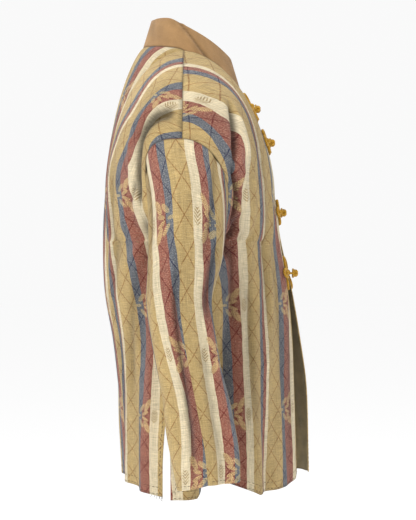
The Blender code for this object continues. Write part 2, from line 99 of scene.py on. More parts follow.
NeckPoint = namedtuple("NeckPoint", "y z top_y top_z")
NECK_SEAM = [
    NeckPoint(0.084, 0.024, 0.0700, 0.0700),
    NeckPoint(0.040, 0.018, 0.0370, 0.0660),
    NeckPoint(0.0125, 0.011, 0.0130, 0.0540),
    NeckPoint(-0.036, -0.023, -0.0290, 0.0300),
    NeckPoint(-0.078, -0.041, -0.0640, 0.0050),
]
ShoulderPoint = namedtuple("ShoulderPoint", "x z")
SHOULDER_SEAM = [
    ShoulderPoint(0.0690, 0.011),
    ShoulderPoint(0.1130, -0.010),
    ShoulderPoint(0.1560, -0.032),
    ShoulderPoint(0.1910, -0.059),
    ShoulderPoint(0.2150, -0.098),
    ShoulderPoint(0.2280, -0.146),
]
SleeveRing = namedtuple("SleeveRing", "outer_x outer_z inner_x inner_z mid_y half_width")
SLEEVE_RINGS = [
    SleeveRing(0.2280, -0.146, 0.1830, -0.300, 0.006, 0.0620),
    SleeveRing(0.2500, -0.190, 0.1895, -0.316, 0.006, 0.0605),
    SleeveRing(0.2680, -0.245, 0.1940, -0.338, 0.008, 0.0590),
    SleeveRing(0.2790, -0.310, 0.1965, -0.366, 0.012, 0.0565),
    SleeveRing(0.2830, -0.386, 0.1975, -0.410, 0.017, 0.0540),
    SleeveRing(0.2820, -0.460, 0.1980, -0.470, 0.008, 0.0545),
    SleeveRing(0.2790, -0.540, 0.1990, -0.545, -0.007, 0.0530),
    SleeveRing(0.2765, -0.610, 0.2005, -0.612, -0.020, 0.0510),
    SleeveRing(0.2750, -0.662, 0.2015, -0.658, -0.0250, 0.0470),
]

# The largest folds, as in the solids
Fold = namedtuple("Fold", "panel across lean top full depth half_width")
FOLDS = [
    Fold("front_right", 0.205, 0.015, -0.300, -0.700, 0.050, 0.026),
    Fold("front_right", 0.110, 0.010, -0.420, -0.690, 0.012, 0.020),
    Fold("front_right", 0.150, 0.005, -0.380, -0.640, -0.010, 0.022),
    Fold("front_left", 0.190, 0.010, -0.320, -0.700, 0.034, 0.026),
    Fold("front_left", 0.100, 0.005, -0.400, -0.680, 0.014, 0.024),
    Fold("front_left", 0.055, 0.010, -0.440, -0.680, -0.008, 0.022),
    Fold("back_right", 0.165, 0.000, -0.360, -0.640, 0.009, 0.018),
    Fold("back_right", 0.080, 0.010, -0.400, -0.660, 0.012, 0.026),
    Fold("back_right", 0.205, 0.010, -0.420, -0.660, -0.006, 0.016),
    Fold("back_left", 0.175, 0.000, -0.340, -0.640, 0.012, 0.020),
    Fold("back_left", 0.070, -0.010, -0.430, -0.660, 0.010, 0.026),
    Fold("back_left", 0.120, 0.000, -0.420, -0.660, -0.007, 0.020),
]
SleeveFold = namedtuple("SleeveFold", "turn twist top full foot depth half_angle")
SLEEVE_FOLDS = [
    SleeveFold(24, 10, -0.200, -0.330, -0.560, 0.0075, 20),
    SleeveFold(-28, -8, -0.230, -0.400, -0.700, 0.0070, 18),
    SleeveFold(72, 14, -0.300, -0.400, -0.520, 0.0060, 20),
    SleeveFold(-92, 0, -0.320, -0.390, -0.470, 0.0080, 24),
    SleeveFold(128, 0, -0.340, -0.480, -0.640, 0.0050, 24),
]

# Softer hollows, which only the dressed cloth has
HOLLOWS = [
    Fold("back_right", 0.200, 0.005, -0.060, -0.300, 0.0130, 0.042),
    Fold("back_left", 0.205, 0.005, -0.080, -0.360, 0.0110, 0.045),
    Fold("front_right", 0.212, 0.000, -0.480, -0.700, 0.0320, 0.020),
    Fold("front_right", 0.130, -0.010, -0.360, -0.600, -0.0050, 0.014),
    Fold("front_left", 0.200, 0.000, -0.500, -0.700, 0.0180, 0.022),
]

# How far the hem lies above its own level, at places across each panel
HEM_RISES = {
    "back_right": ((0.0, 0.019), (0.13, 0.019), (0.20, 0.012), (0.262, 0.005)),
    "back_left": ((0.0, 0.019), (0.10, 0.022), (0.20, 0.015), (0.262, 0.010)),
    "front_right": ((0.0, 0.016), (0.03, 0.012), (0.055, 0.005), (0.10, 0.001), (0.15, 0.0),
                    (0.19, 0.018), (0.23, 0.019), (0.255, 0.0), (0.30, 0.0)),
    "front_left": ((0.0, 0.016), (0.10, 0.010), (0.20, 0.006), (0.30, 0.0)),
}
HEM_RISE_TOP = -0.560

# Smaller creases, listed one by one. Each runs from one place on the cloth to another, across
# from the centre edge and by height, and its depth is inward.
Crease = namedtuple("Crease", "panel across top end_across foot depth half_width")
CREASES = [
    Crease("back_right", 0.221, -0.078, 0.243, -0.165, 0.0150, 0.0050),
    Crease("back_right", 0.243, -0.160, 0.240, -0.245, 0.0150, 0.0055),
    Crease("back_right", 0.203, -0.090, 0.222, -0.215, -0.0065, 0.0100),
    Crease("back_right", 0.236, -0.205, 0.190, -0.262, 0.0080, 0.0070),
    Crease("back_right", 0.222, -0.222, 0.172, -0.285, -0.0060, 0.0100),
    Crease("back_right", 0.246, -0.260, 0.200, -0.330, 0.0070, 0.0080),
    Crease("back_right", 0.205, -0.280, 0.150, -0.350, -0.0040, 0.0110),
    Crease("back_right", 0.150, -0.180, 0.120, -0.420, 0.0038, 0.0120),
    Crease("back_right", 0.185, -0.330, 0.160, -0.560, 0.0042, 0.0110),
    Crease("back_right", 0.125, -0.420, 0.135, -0.680, 0.0034, 0.0120),
    Crease("back_right", 0.100, -0.070, 0.070, -0.300, 0.0026, 0.0160),
    Crease("back_left", 0.220, -0.085, 0.242, -0.215, 0.0120, 0.0065),
    Crease("back_left", 0.205, -0.095, 0.222, -0.210, -0.0050, 0.0110),
    Crease("back_left", 0.235, -0.230, 0.180, -0.300, 0.0065, 0.0080),
    Crease("back_left", 0.215, -0.250, 0.160, -0.330, -0.0040, 0.0110),
    Crease("back_left", 0.140, -0.200, 0.105, -0.430, 0.0032, 0.0140),
    Crease("front_right", 0.192, -0.085, 0.266, -0.182, 0.0140, 0.0055),
    Crease("front_right", 0.274, -0.185, 0.268, -0.275, 0.0130, 0.0065),
    Crease("front_right", 0.264, -0.262, 0.216, -0.325, 0.0100, 0.0080),
    Crease("front_right", 0.185, -0.085, 0.228, -0.190, -0.0045, 0.0100),
    Crease("front_right", 0.246, -0.170, 0.238, -0.270, -0.0050, 0.0100),
    Crease("front_right", 0.215, -0.290, 0.190, -0.430, 0.0060, 0.0090),
    Crease("front_right", 0.168, -0.330, 0.150, -0.600, 0.0045, 0.0100),
    Crease("front_right", 0.126, -0.240, 0.112, -0.460, 0.0036, 0.0090),
    Crease("front_right", 0.040, -0.400, 0.052, -0.660, 0.0040, 0.0100),
    Crease("front_right", 0.150, -0.110, 0.140, -0.280, 0.0030, 0.0130),
    Crease("front_right", 0.060, -0.110, 0.030, -0.250, 0.0026, 0.0120),
    Crease("front_right", 0.090, -0.300, 0.070, -0.560, 0.0032, 0.0130),
    Crease("front_left", 0.205, -0.080, 0.258, -0.180, 0.0110, 0.0065),
    Crease("front_left", 0.258, -0.160, 0.262, -0.290, 0.0120, 0.0070),
    Crease("front_left", 0.228, -0.170, 0.218, -0.300, -0.0045, 0.0110),
    Crease("front_left", 0.185, -0.140, 0.172, -0.320, 0.0038, 0.0110),
    Crease("front_left", 0.065, -0.120, 0.040, -0.270, 0.0024, 0.0120),
]

# Smaller creases of the sleeves. Turns are from the outer line, toward the back when positive.
SleeveCrease = namedtuple("SleeveCrease", "turn top end_turn foot bow depth half_width")
SLEEVE_CREASES = [
    SleeveCrease(9, -0.330, 27, -0.655, -5, 0.0080, 0.0045),
    SleeveCrease(19, -0.330, 38, -0.655, -5, -0.0040, 0.0075),
    SleeveCrease(-8, -0.190, -4, -0.430, 4, 0.0022, 0.0090),
    SleeveCrease(-52, -0.160, -38, -0.330, 0, 0.0045, 0.0060),
    SleeveCrease(-62, -0.300, -50, -0.420, 0, 0.0065, 0.0080),
    SleeveCrease(-36, -0.430, -30, -0.640, 5, 0.0030, 0.0070),
    SleeveCrease(62, -0.170, 70, -0.330, 0, 0.0050, 0.0060),
    SleeveCrease(96, -0.240, 84, -0.380, 0, 0.0045, 0.0070),
    SleeveCrease(2, -0.480, 6, -0.640, 0, 0.0020, 0.0080),
]
CUFF_DROP = 0.013

# The long fold down the sleeve takes in some cloth: behind the outer line, and until this turn
# past the inner line, the stripes lie this much further round
TakenIn = namedtuple("TakenIn", "z past_inner width")
TAKEN_IN = (
    TakenIn(-0.300, 12, 0.000),
    TakenIn(-0.360, 6, 0.006),
    TakenIn(-0.400, 6, 0.012),
    TakenIn(-0.450, 10, 0.016),
    TakenIn(-0.540, 17, 0.026),
    TakenIn(-0.620, 25, 0.021),
    TakenIn(-0.660, 27, 0.019),
)

# How pointed a crease is across, how deep one is where the shade painted into its cloth is darkest, and how
# much painted shade its seams and hem get
CREASE_POWER = 1.5
DARKEST_DEPTH = 0.0070
COLLAR_DARKEST = 0.0045
SEAM_SHADE = 0.75
HEM_SHADE = 0.60
SWAY = 0.0015
LONG_WAVE = 0.061
SHORT_WAVE = 0.034

# Near a seam the cloth lies flat: this wide along the side, and this many rows below the top edge
SEWN_WIDTH = 0.014
SEWN_ROWS = 5.0
CALM_MIDDLE = 0.030
LENGTH_START = 0.030
SWAY_SEEDS = {"back_right": 0.4, "back_left": 0.4, "front_right": 1.9, "front_left": 3.1}

# Grid steps of the shells
SHOULDER_STEPS = 60
ARMHOLE_STEPS = 22
BODY_STEPS = 118
BACK_STEPS = 96
FRONT_STEPS = 120
SLEEVE_STEPS = 150
SLEEVE_TURNS = 112
COLLAR_STEPS = 14
VENT_ROW = 68
FINE = 90

# Stripes, in metres across the cloth, running from the centre back round to the front edges
Stripe = namedtuple("Stripe", "cloth width")
STRIPES = [
    Stripe("blue", 0.0140),
    Stripe("red", 0.0190),
    Stripe("cream", 0.0150),
    Stripe("gold", 0.0280),
    Stripe("blue", 0.0075),
    Stripe("red", 0.0070),
    Stripe("cream", 0.0075),
    Stripe("gold", 0.0380),
]

# How the stripes lie on each panel: where they start, which way they run, and at several levels
# which place on the striped cloth meets each of the panel's places across
Lay = namedtuple("Lay", "start direction places rows")
LayRow = namedtuple("LayRow", "z girths")
BACK_PLACES = (0.0, 0.07, 0.13, 0.18, 0.22, 0.26, 0.30)
BACK_ROWS = (
    LayRow(0.000, (0.0, 0.0961, 0.1317, 0.1758, 0.2221, 0.2609, 0.2985)),
    LayRow(-0.060, (0.0, 0.0794, 0.1130, 0.1500, 0.2073, 0.2615, 0.2997)),
    LayRow(-0.120, (0.0, 0.0691, 0.1263, 0.1803, 0.2184, 0.2603, 0.2998)),
    LayRow(-0.180, (0.0, 0.0702, 0.1520, 0.2050, 0.2283, 0.2598, 0.2993)),
    LayRow(-0.223, (0.0, 0.0718, 0.1560, 0.2080, 0.2296, 0.2602, 0.2990)),
    LayRow(-0.310, (0.0, 0.0726, 0.1440, 0.1970, 0.2287, 0.2616, 0.2988)),
    LayRow(-0.420, (0.0, 0.0761, 0.1330, 0.1839, 0.2270, 0.2629, 0.2985)),
    LayRow(-0.560, (0.0, 0.0850, 0.1458, 0.1973, 0.2340, 0.2636, 0.2982)),
    LayRow(-0.700, (0.0, 0.0860, 0.1500, 0.1985, 0.2360, 0.2646, 0.2979)),
)
FRONT_PLACES = (0.0, 0.05, 0.10, 0.15, 0.20, 0.25, 0.30, 0.34)
FRONT_ROWS = (
    LayRow(0.000, (0.0, 0.0348, 0.0733, 0.1012, 0.1302, 0.1701, 0.2248, 0.2615)),
    LayRow(-0.060, (0.0, 0.0384, 0.0781, 0.1260, 0.1563, 0.1850, 0.2350, 0.2698)),
    LayRow(-0.120, (0.0, 0.0412, 0.0811, 0.1340, 0.1705, 0.1990, 0.2448, 0.2786)),
    LayRow(-0.180, (0.0, 0.0455, 0.0875, 0.1285, 0.1675, 0.2110, 0.2558, 0.2893)),
    LayRow(-0.223, (0.0, 0.0482, 0.0963, 0.1357, 0.1700, 0.2190, 0.2642, 0.2985)),
    LayRow(-0.310, (0.0, 0.0478, 0.0968, 0.1502, 0.1856, 0.2310, 0.2796, 0.3165)),
    LayRow(-0.420, (0.0, 0.0425, 0.0880, 0.1436, 0.1992, 0.2439, 0.2916, 0.3302)),
    LayRow(-0.560, (0.0, 0.0340, 0.0835, 0.1395, 0.2060, 0.2534, 0.3009, 0.3402)),
    LayRow(-0.700, (0.0, 0.0320, 0.0790, 0.1340, 0.2070, 0.2590, 0.3060, 0.3475)),
)
LAYS = {
    "back_right": Lay(-0.1780, 1, BACK_PLACES, BACK_ROWS),
    "back_left": Lay(-0.1780, -1, BACK_PLACES, BACK_ROWS),
    "front_right": Lay(0.0615, -1, FRONT_PLACES, FRONT_ROWS),
    "front_left": Lay(0.0700, 1, FRONT_PLACES, FRONT_ROWS),
}

# The sleeves' cloth, round from back to front
SLEEVE_STRIPES = [
    Stripe("gold", 0.0300),
    Stripe("cream", 0.0150),
    Stripe("red", 0.0140),
    Stripe("blue", 0.0120),
    Stripe("gold", 0.0210),
    Stripe("cream", 0.0075),
    Stripe("red", 0.0070),
    Stripe("blue", 0.0075),
    Stripe("gold", 0.0380),
    Stripe("cream", 0.0150),
    Stripe("red", 0.0190),
    Stripe("blue", 0.0140),
]

# Where that cloth starts, round from the outer line, at each height
SleeveStart = namedtuple("SleeveStart", "z girth")
SLEEVE_STARTS = (
    SleeveStart(-0.150, -0.0280),
    SleeveStart(-0.176, -0.0265),
    SleeveStart(-0.270, -0.0180),
    SleeveStart(-0.360, -0.0062),
    SleeveStart(-0.540, -0.0086),
    SleeveStart(-0.660, -0.0135),
)


def smoothstep(low, high, value):
    """A soft ramp from 0 at low to 1 at high, whichever of the two is larger."""
    share = np.clip((value - low) / (high - low), 0.0, 1.0)
    return share * share * (3.0 - 2.0 * share)


def through(keys, values, at):
    """A smooth curve through the values at the keys, as in the solids."""
    keys = np.asarray(keys, float)
    values = np.asarray(values, float)
    if keys[0] > keys[-1]:
        keys = keys[::-1]
        values = values[::-1]
    at = np.clip(at, keys[0], keys[-1])
    i = np.clip(np.searchsorted(keys, at, "left") - 1, 0, len(keys) - 2)
    slopes = np.diff(values) / np.diff(keys)
    nodes = np.concatenate([slopes[:1], (values[2:] - values[:-2]) / (keys[2:] - keys[:-2]), slopes[-1:]])
    span = keys[i + 1] - keys[i]
    share = (at - keys[i]) / span
    s2 = share * share
    s3 = s2 * share
    return ((2 * s3 - 3 * s2 + 1) * values[i] + (s3 - 2 * s2 + share) * span * nodes[i]
            + (3 * s2 - 2 * s3) * values[i + 1] + (s3 - s2) * span * nodes[i + 1])


def section_value(column, z):
    """One of the body's sizes at any height."""
    return through([row.z for row in SECTIONS], [getattr(row, column) for row in SECTIONS], z)


def neck_points(y):
    """Points of the neck seam on the +X side, from how far back they lie."""
    keys = [row.y for row in NECK_SEAM]
    depth = np.where(y > 0, NECK_BACK_Y, -NECK_FRONT_Y)
    x = NECK_HALF_WIDTH * np.sqrt(1.0 - np.clip(y / depth, -1.0, 1.0) ** 2)
    return np.stack([x, y, through(keys, [row.z for row in NECK_SEAM], y)], axis=-1)


def spread(points, count):
    """The same run of points, evenly spaced along its length."""
    steps = np.linalg.norm(np.diff(points, axis=0), axis=1)
    travelled = np.concatenate([[0.0], np.cumsum(steps)])
    want = np.linspace(0.0, travelled[-1], count + 1)
    return np.stack([np.interp(want, travelled, points[:, k]) for k in range(3)], axis=-1)


def top_edge(is_back, count):
    """Neck seam and shoulder seam of a half panel, from its centre edge to the armhole."""
    start = 0.0 if is_back else math.pi
    end = math.acos(SHOULDER_Y / NECK_BACK_Y)
    cosine = np.cos(np.linspace(start, end, FINE + 1))
    neck = neck_points(np.where(cosine > 0, NECK_BACK_Y, -NECK_FRONT_Y) * cosine)
    x = np.linspace(SHOULDER_SEAM[0].x, SHOULDER_SEAM[-1].x, FINE + 1)
    z = through([row.x for row in SHOULDER_SEAM], [row.z for row in SHOULDER_SEAM], x)
    shift = SEAM_GAP / 2 if is_back else -SEAM_GAP / 2
    shoulder = np.stack([x, np.full_like(x, SHOULDER_Y + shift), z], axis=-1)
    neck[0, 0] = 0.0 if is_back else FRONT_EDGE_X
    neck[-1, 1] = SHOULDER_Y + shift
    neck_count = round(count * NECK_SHARE)
    return np.concatenate([spread(neck, neck_count)[:-1], spread(shoulder, count - neck_count)])


def ring_share(lean, is_back):
    """How far from its middle the armhole's edge lies at one height, as a share of its half width."""
    squarer = (BACK_RING_POWER - 2.0) * smoothstep(-0.3, 0.4, lean) if is_back else 0.0
    power = 2.0 + squarer
    return (1.0 - np.abs(lean) ** power) ** (1.0 / power)


def side_point(side, is_back, z):
    """Where a level row of a panel ends: on the armhole, the side seam or the vent's edge."""
    sign = 1.0 if is_back else -1.0
    if z > UNDERARM_Z:
        lean = min(max((z - ARMHOLE_MID_Z) / ARMHOLE_RISE, -1.0), 1.0)
        top_share = max(lean, 0.0)
        y = ARMHOLE_MID_Y * (1 - top_share) + SHOULDER_Y * top_share
        y += sign * (ARMHOLE_HALF_WIDTH * ring_share(lean, is_back) + SEAM_GAP / 2)
        return np.array([ARMHOLE_MID_X + ARMHOLE_LEAN * lean, y, z])
    swing = VENTS[side].back_swing if is_back else VENTS[side].front_swing
    y = section_value("side_y", z) + sign * (SEAM_GAP / 2 + swing * smoothstep(VENT_TOP_Z, VENT_FULL_Z, z))
    return np.array([section_value("side_x", z), y, z])


def level_row(side, is_back, z, count):
    """One level row of a half panel: part of a squared ellipse, which the armhole cuts short."""
    end = side_point(side, is_back, z)
    if is_back:
        centre_y = section_value("back_y", z)
        squareness = BACK_SQUARENESS
        edge_x = 0.0
    else:
        centre_y = section_value("front_right_y" if side == RIGHT else "front_left_y", z)
        squareness = FRONT_SQUARENESS
        edge_x = FRONT_EDGE_X
    base_y = ARMHOLE_MID_Y if z > UNDERARM_Z else end[1]
    cut = ((end[1] - base_y) / (centre_y - base_y)) ** squareness
    kept = (1.0 - cut) ** (1.0 / squareness)
    power = 2.0 / squareness
    angle = np.linspace(0.0, math.asin(min(kept ** (1.0 / power), 1.0)), FINE + 1)
    x = edge_x + (end[0] - edge_x) / kept * np.sin(angle) ** power
    y = base_y + (centre_y - base_y) * np.clip(np.cos(angle), 0.0, 1.0) ** power
    run = np.stack([x, y, np.full_like(x, z)], axis=-1)
    run[-1] = end
    return spread(run, count)


def panel_grid(side, is_back, count):
    """A half panel on the +X side: rows of points from its top edge down to its hem."""
    top = top_edge(is_back, count)
    mid = level_row(side, is_back, ARMHOLE_MID_Z, count)
    across = np.linspace(0.0, 1.0, count + 1)
    rise = NECK_RISE_BACK if is_back else NECK_RISE_FRONT
    bend = 1.0 + rise * (1.0 - smoothstep(0.0, NECK_SHARE * 1.3, across))
    base = top[:, 1] + (ARMHOLE_MID_Y - top[:, 1]) * smoothstep(0.75, 1.0, across)
    rows = []
    for turn in np.linspace(0.0, math.pi / 2, SHOULDER_STEPS, endpoint=False):
        row = top + (mid - top) * (1.0 - math.cos(turn))
        swell = math.sin(turn) ** bend
        swell += (ring_share(math.cos(turn), is_back) - math.sin(turn)) * smoothstep(0.6, 1.0, across)
        row[:, 1] = base + (top[:, 1] - base) * math.cos(turn) + (mid[:, 1] - base) * swell
        rows.append(row)
    for turn in np.linspace(math.pi / 2, math.pi, ARMHOLE_STEPS, endpoint=False):
        rows.append(level_row(side, is_back, ARMHOLE_MID_Z + ARMHOLE_RISE * math.cos(turn), count))
    for z in np.linspace(UNDERARM_Z, HEM_Z, BODY_STEPS + 1):
        rows.append(level_row(side, is_back, z, count))
    return np.array(rows)


def grid_normals(grid, closed=False):
    """Outward normals, for rows that run down and columns that run round toward their side."""
    if closed:
        across = np.roll(grid, -1, axis=1) - np.roll(grid, 1, axis=1)
    else:
        across = np.gradient(grid, axis=1)
    down = np.gradient(grid, axis=0)
    normal = np.cross(across, down)
    return normal / np.maximum(np.linalg.norm(normal, axis=2, keepdims=True), 1e-12)


def fold_depths(panel, across, z):
    """How far inward the panel's large folds move each point."""
    total = np.zeros_like(z)
    for fold in FOLDS + HOLLOWS:
        if fold.panel == panel:
            grown = smoothstep(fold.top, fold.full, z)
            place = fold.across + fold.lean * grown
            total += fold.depth * grown * np.exp(-((across - place) / fold.half_width) ** 2)
    return total


def sway(across, z, seed):
    """The slack cloth's own slight waves, long down the cloth and short across it."""
    waves = np.sin(2 * math.pi * across / LONG_WAVE + 1.7 * np.sin(7.0 * z + seed) + seed)
    waves = waves + 0.6 * np.sin(2 * math.pi * across / SHORT_WAVE + 2.1 * np.sin(11.0 * z - seed)
                                 + 2.0 * seed)
    return SWAY * waves * smoothstep(-0.06, -0.30, z)


def crease_depths(panel, across, z):
    """How far inward the panel's smaller creases move each point."""
    total = np.zeros_like(z)
    for crease in CREASES:
        if crease.panel != panel:
            continue
        run = np.array([crease.end_across - crease.across, crease.foot - crease.top])
        length = np.hypot(*run)
        run = run / length
        along = ((across - crease.across) * run[0] + (z - crease.top) * run[1]) / length
        aside = (across - crease.across) * run[1] - (z - crease.top) * run[0]
        fade = smoothstep(-0.15, 0.3, along) * smoothstep(1.15, 0.7, along)
        total += crease.depth * fade * np.exp(-np.abs(aside / crease.half_width) ** CREASE_POWER)
    return total


def cloth_lengths(grid):
    """How far down the cloth each point lies: level below the armhole's middle, and above it
    along each column."""
    steps = np.linalg.norm(np.diff(grid, axis=0), axis=2)
    travelled = np.concatenate([np.zeros((1, grid.shape[1])), np.cumsum(steps, axis=0)])
    level = LENGTH_START - grid[:, :, 2]
    above = level[SHOULDER_STEPS] - (travelled[SHOULDER_STEPS] - travelled)
    mask = (np.arange(grid.shape[0]) < SHOULDER_STEPS)[:, None]
    return np.where(mask, above, level)


Panel = namedtuple("Panel", "grid normals girth length hollow")


def laid_girth(name, grid, cut):
    """Where each point lies across the striped cloth. The cloth is flat at the top edge, and from
    the armhole's middle down it lies along the rows themselves."""
    lay = LAYS[name]
    steps = np.linalg.norm(np.diff(grid, axis=1), axis=2)
    reach = steps.sum(axis=1)
    turns = np.linspace(0.0, math.pi / 2, SHOULDER_STEPS, endpoint=False)
    heights = np.concatenate([ARMHOLE_MID_Z * (1.0 - np.cos(turns)), grid[SHOULDER_STEPS:, 0, 2]])
    reach[:SHOULDER_STEPS] = cut + (reach[SHOULDER_STEPS] - cut) * (1.0 - np.cos(turns))
    places = np.linspace(0.0, 1.0, grid.shape[1])[None] * reach[:, None]
    levels = [row.z for row in lay.rows]
    at_places = [through(levels, [row.girths[k] for row in lay.rows], heights)
                 for k in range(len(lay.places))]
    girth = np.array([through(lay.places, [column[i] for column in at_places], places[i])
                      for i in range(len(heights))])
    return lay.start + lay.direction * girth


def half_panel(side, is_back):
    """A dressed half panel in its own place, with the place of each point on the cloth."""
    name = ("back_" if is_back else "front_") + ("right" if side == RIGHT else "left")
    count = BACK_STEPS if is_back else FRONT_STEPS
    cut = BACK_CUT if is_back else FRONT_CUT
    grid = panel_grid(side, is_back, count)
    outward = 1.0 if is_back else -1.0
    normals = grid_normals(grid) * outward
    across = np.broadcast_to(np.linspace(0.0, cut, count + 1), grid.shape[:2])
    z = grid[:, :, 2]
    level = normals * np.array([1.0, 1.0, 0.0])
    lengths = cloth_lengths(grid)
    creases = crease_depths(name, across, z)
    edge = smoothstep(0.0, SEWN_WIDTH, cut - across)
    edge = edge * smoothstep(0.0, SEWN_ROWS, np.arange(grid.shape[0]))[:, None]
    waves = sway(across, z, SWAY_SEEDS[name])
    if is_back:
        waves = waves * smoothstep(0.0, CALM_MIDDLE, across)
    moved = grid - level * fold_depths(name, across, z)[:, :, None]
    moved = moved - normals * ((creases + waves) * edge)[:, :, None]
    # Painted shade: how dark the cloth's colour is made in its creases, along its top seam, its armhole
    # seam and its hem
    hollow = np.clip(creases * edge / DARKEST_DEPTH, 0.0, 1.0)
    hollow[0] = SEAM_SHADE
    hollow[:SHOULDER_STEPS + ARMHOLE_STEPS, -1] = SEAM_SHADE
    hollow[-1] = HEM_SHADE
    rise = np.interp(across, *zip(*HEM_RISES[name])) * smoothstep(HEM_RISE_TOP, HEM_Z, z)
    moved[:, :, 2] += rise
    if side == RIGHT:
        moved = moved * MIRROR
    return Panel(moved, None, laid_girth(name, grid, cut), lengths, hollow)


def back_panel():
    """The whole back, its two halves joined down the middle."""
    right = half_panel(RIGHT, True)
    left = half_panel(LEFT, True)
    grid, girth, length, hollow = [
        np.concatenate([getattr(right, part)[:, ::-1], getattr(left, part)[:, 1:]], axis=1)
        for part in ("grid", "girth", "length", "hollow")]
    return Panel(grid, grid_normals(grid), girth, length, hollow)


def front_panel(side):
    """One front, its columns in the way round that makes its normals point outward."""
    panel = half_panel(side, False)
    way = -1 if side == LEFT else 1
    grid, girth, length, hollow = [
        getattr(panel, part)[:, ::way] for part in ("grid", "girth", "length", "hollow")]
    return Panel(grid, grid_normals(grid), girth, length, hollow)


def sleeve_crease_depth(crease, turn, z, half_width):
    """How far inward one sleeve crease moves each point."""
    share = (z - crease.top) / (crease.foot - crease.top)
    place = crease.turn + (crease.end_turn - crease.turn) * np.clip(share, 0.0, 1.0)
    place = place + crease.bow * np.sin(np.clip(share, 0.0, 1.0) * math.pi)
    away = ((turn - place + 180) % 360 - 180) * math.pi / 180 * half_width * 0.8
    fade = smoothstep(-0.12, 0.25, share) * smoothstep(1.12, 0.75, share)
    return crease.depth * fade * np.exp(-np.abs(away / crease.half_width) ** CREASE_POWER)


def sleeve_panel(side):
    """The sleeve as a tube of cloth, its columns turning from the outer line forward on +X."""
    last = len(SLEEVE_RINGS) - 1
    keys = np.arange(last + 1)
    at = np.linspace(0.0, last, SLEEVE_STEPS + 1)
    outer_x, outer_z, inner_x, inner_z, mid_y, half_width = [
        through(keys, [row[column] for row in SLEEVE_RINGS], at)[:, None] for column in range(6)]
    angle = np.linspace(0.0, 2 * math.pi, SLEEVE_TURNS + 1)[None, :]
    cosine, sine = np.cos(angle), np.sin(angle)
    seam = np.array([ARMHOLE_RISE, -ARMHOLE_LEAN])
    seam = seam / np.hypot(*seam) * (SEAM_GAP * 1.5)
    x = (outer_x + inner_x) / 2 + (outer_x - inner_x) / 2 * cosine + seam[0]
    z = (outer_z + inner_z) / 2 + (outer_z - inner_z) / 2 * cosine + seam[1]
    top_share = np.maximum(cosine, 0.0) * (1 - smoothstep(0, 2, at))[:, None]
    cap = (1 - smoothstep(0, 2.5, at))[:, None] * (sine < 0) * (cosine > -0.3)
    around = sine * (1 - cap) - ring_share(cosine, True) * cap
    y = mid_y * (1 - top_share) + SHOULDER_Y * top_share - half_width * around
    grid = np.stack([x, y, z], axis=-1)
    steps = np.linalg.norm(np.diff(grid, axis=1), axis=2)
    girth = np.concatenate([np.zeros((len(at), 1)), np.cumsum(steps, axis=1)], axis=1)
    girth = np.where(girth > girth[:, -1:] / 2, girth - girth[:, -1:], girth)
    falls = np.linalg.norm(np.diff(grid, axis=0), axis=2).mean(axis=1)
    length = np.broadcast_to(np.concatenate([[0.0], np.cumsum(falls)])[:, None], z.shape)
    normals = grid_normals(grid[:, :-1], closed=True)
    normals = np.concatenate([normals, normals[:, :1]], axis=1)
    turn = -np.degrees(angle)
    depth = np.zeros_like(z)
    for fold in SLEEVE_FOLDS:
        grown = smoothstep(fold.top, fold.full, z) * smoothstep(fold.foot - 0.08, fold.foot, z)
        place = fold.turn + fold.twist * smoothstep(fold.top, fold.foot, z)
        away = (turn - place + 180) % 360 - 180
        depth += fold.depth * grown * np.exp(-(away / fold.half_angle) ** 2)
    grid = grid - normals * depth[:, :, None]
    creases = sum(sleeve_crease_depth(crease, turn, z, half_width) for crease in SLEEVE_CREASES)
    waves = np.sin(3 * angle + 2.0 * np.sin(9.0 * z))
    waves = waves + 0.7 * np.sin(5 * angle + 1.6 * np.sin(13.0 * z + 1.0))
    grid = grid - normals * (creases + SWAY * waves * smoothstep(0.0, 3.0, at)[:, None])[:, :, None]
    # Painted shade: how dark the sleeve's colour is made in its creases and along its armhole seam
    hollow = np.clip(creases / DARKEST_DEPTH, 0.0, 1.0)
    hollow[0] = SEAM_SHADE
    grid[:, :, 2] -= CUFF_DROP * np.maximum(-sine, 0.0) * smoothstep(5.0, last, at)[:, None]
    girth = girth - through([row.z for row in SLEEVE_STARTS], [row.girth for row in SLEEVE_STARTS], z)
    keys = [row.z for row in TAKEN_IN]
    past_inner = through(keys, [row.past_inner for row in TAKEN_IN], z)
    width = through(keys, [row.width for row in TAKEN_IN], z)
    girth = girth - width * (turn < past_inner - 180)
    if side == RIGHT:
        grid = (grid * MIRROR)[:, ::-1]
        girth = girth[:, ::-1]
        hollow = hollow[:, ::-1]
    normals = grid_normals(grid[:, :-1], closed=True)
    normals = np.concatenate([normals, normals[:, :1]], axis=1)
    return Panel(grid, normals, girth, length, hollow)


# Soft creases of the collar: places from the right front edge (-1) to the left one (1)
CollarCrease = namedtuple("CollarCrease", "top_place foot_place depth half_width")
COLLAR_CREASES = (
    CollarCrease(-0.40, -0.72, 0.0036, 0.030),
    CollarCrease(-0.34, -0.66, -0.0020, 0.050),
    CollarCrease(-0.12, -0.20, 0.0012, 0.050),
    CollarCrease(0.42, 0.66, 0.0030, 0.035),
    CollarCrease(0.10, 0.16, 0.0012, 0.050),
)


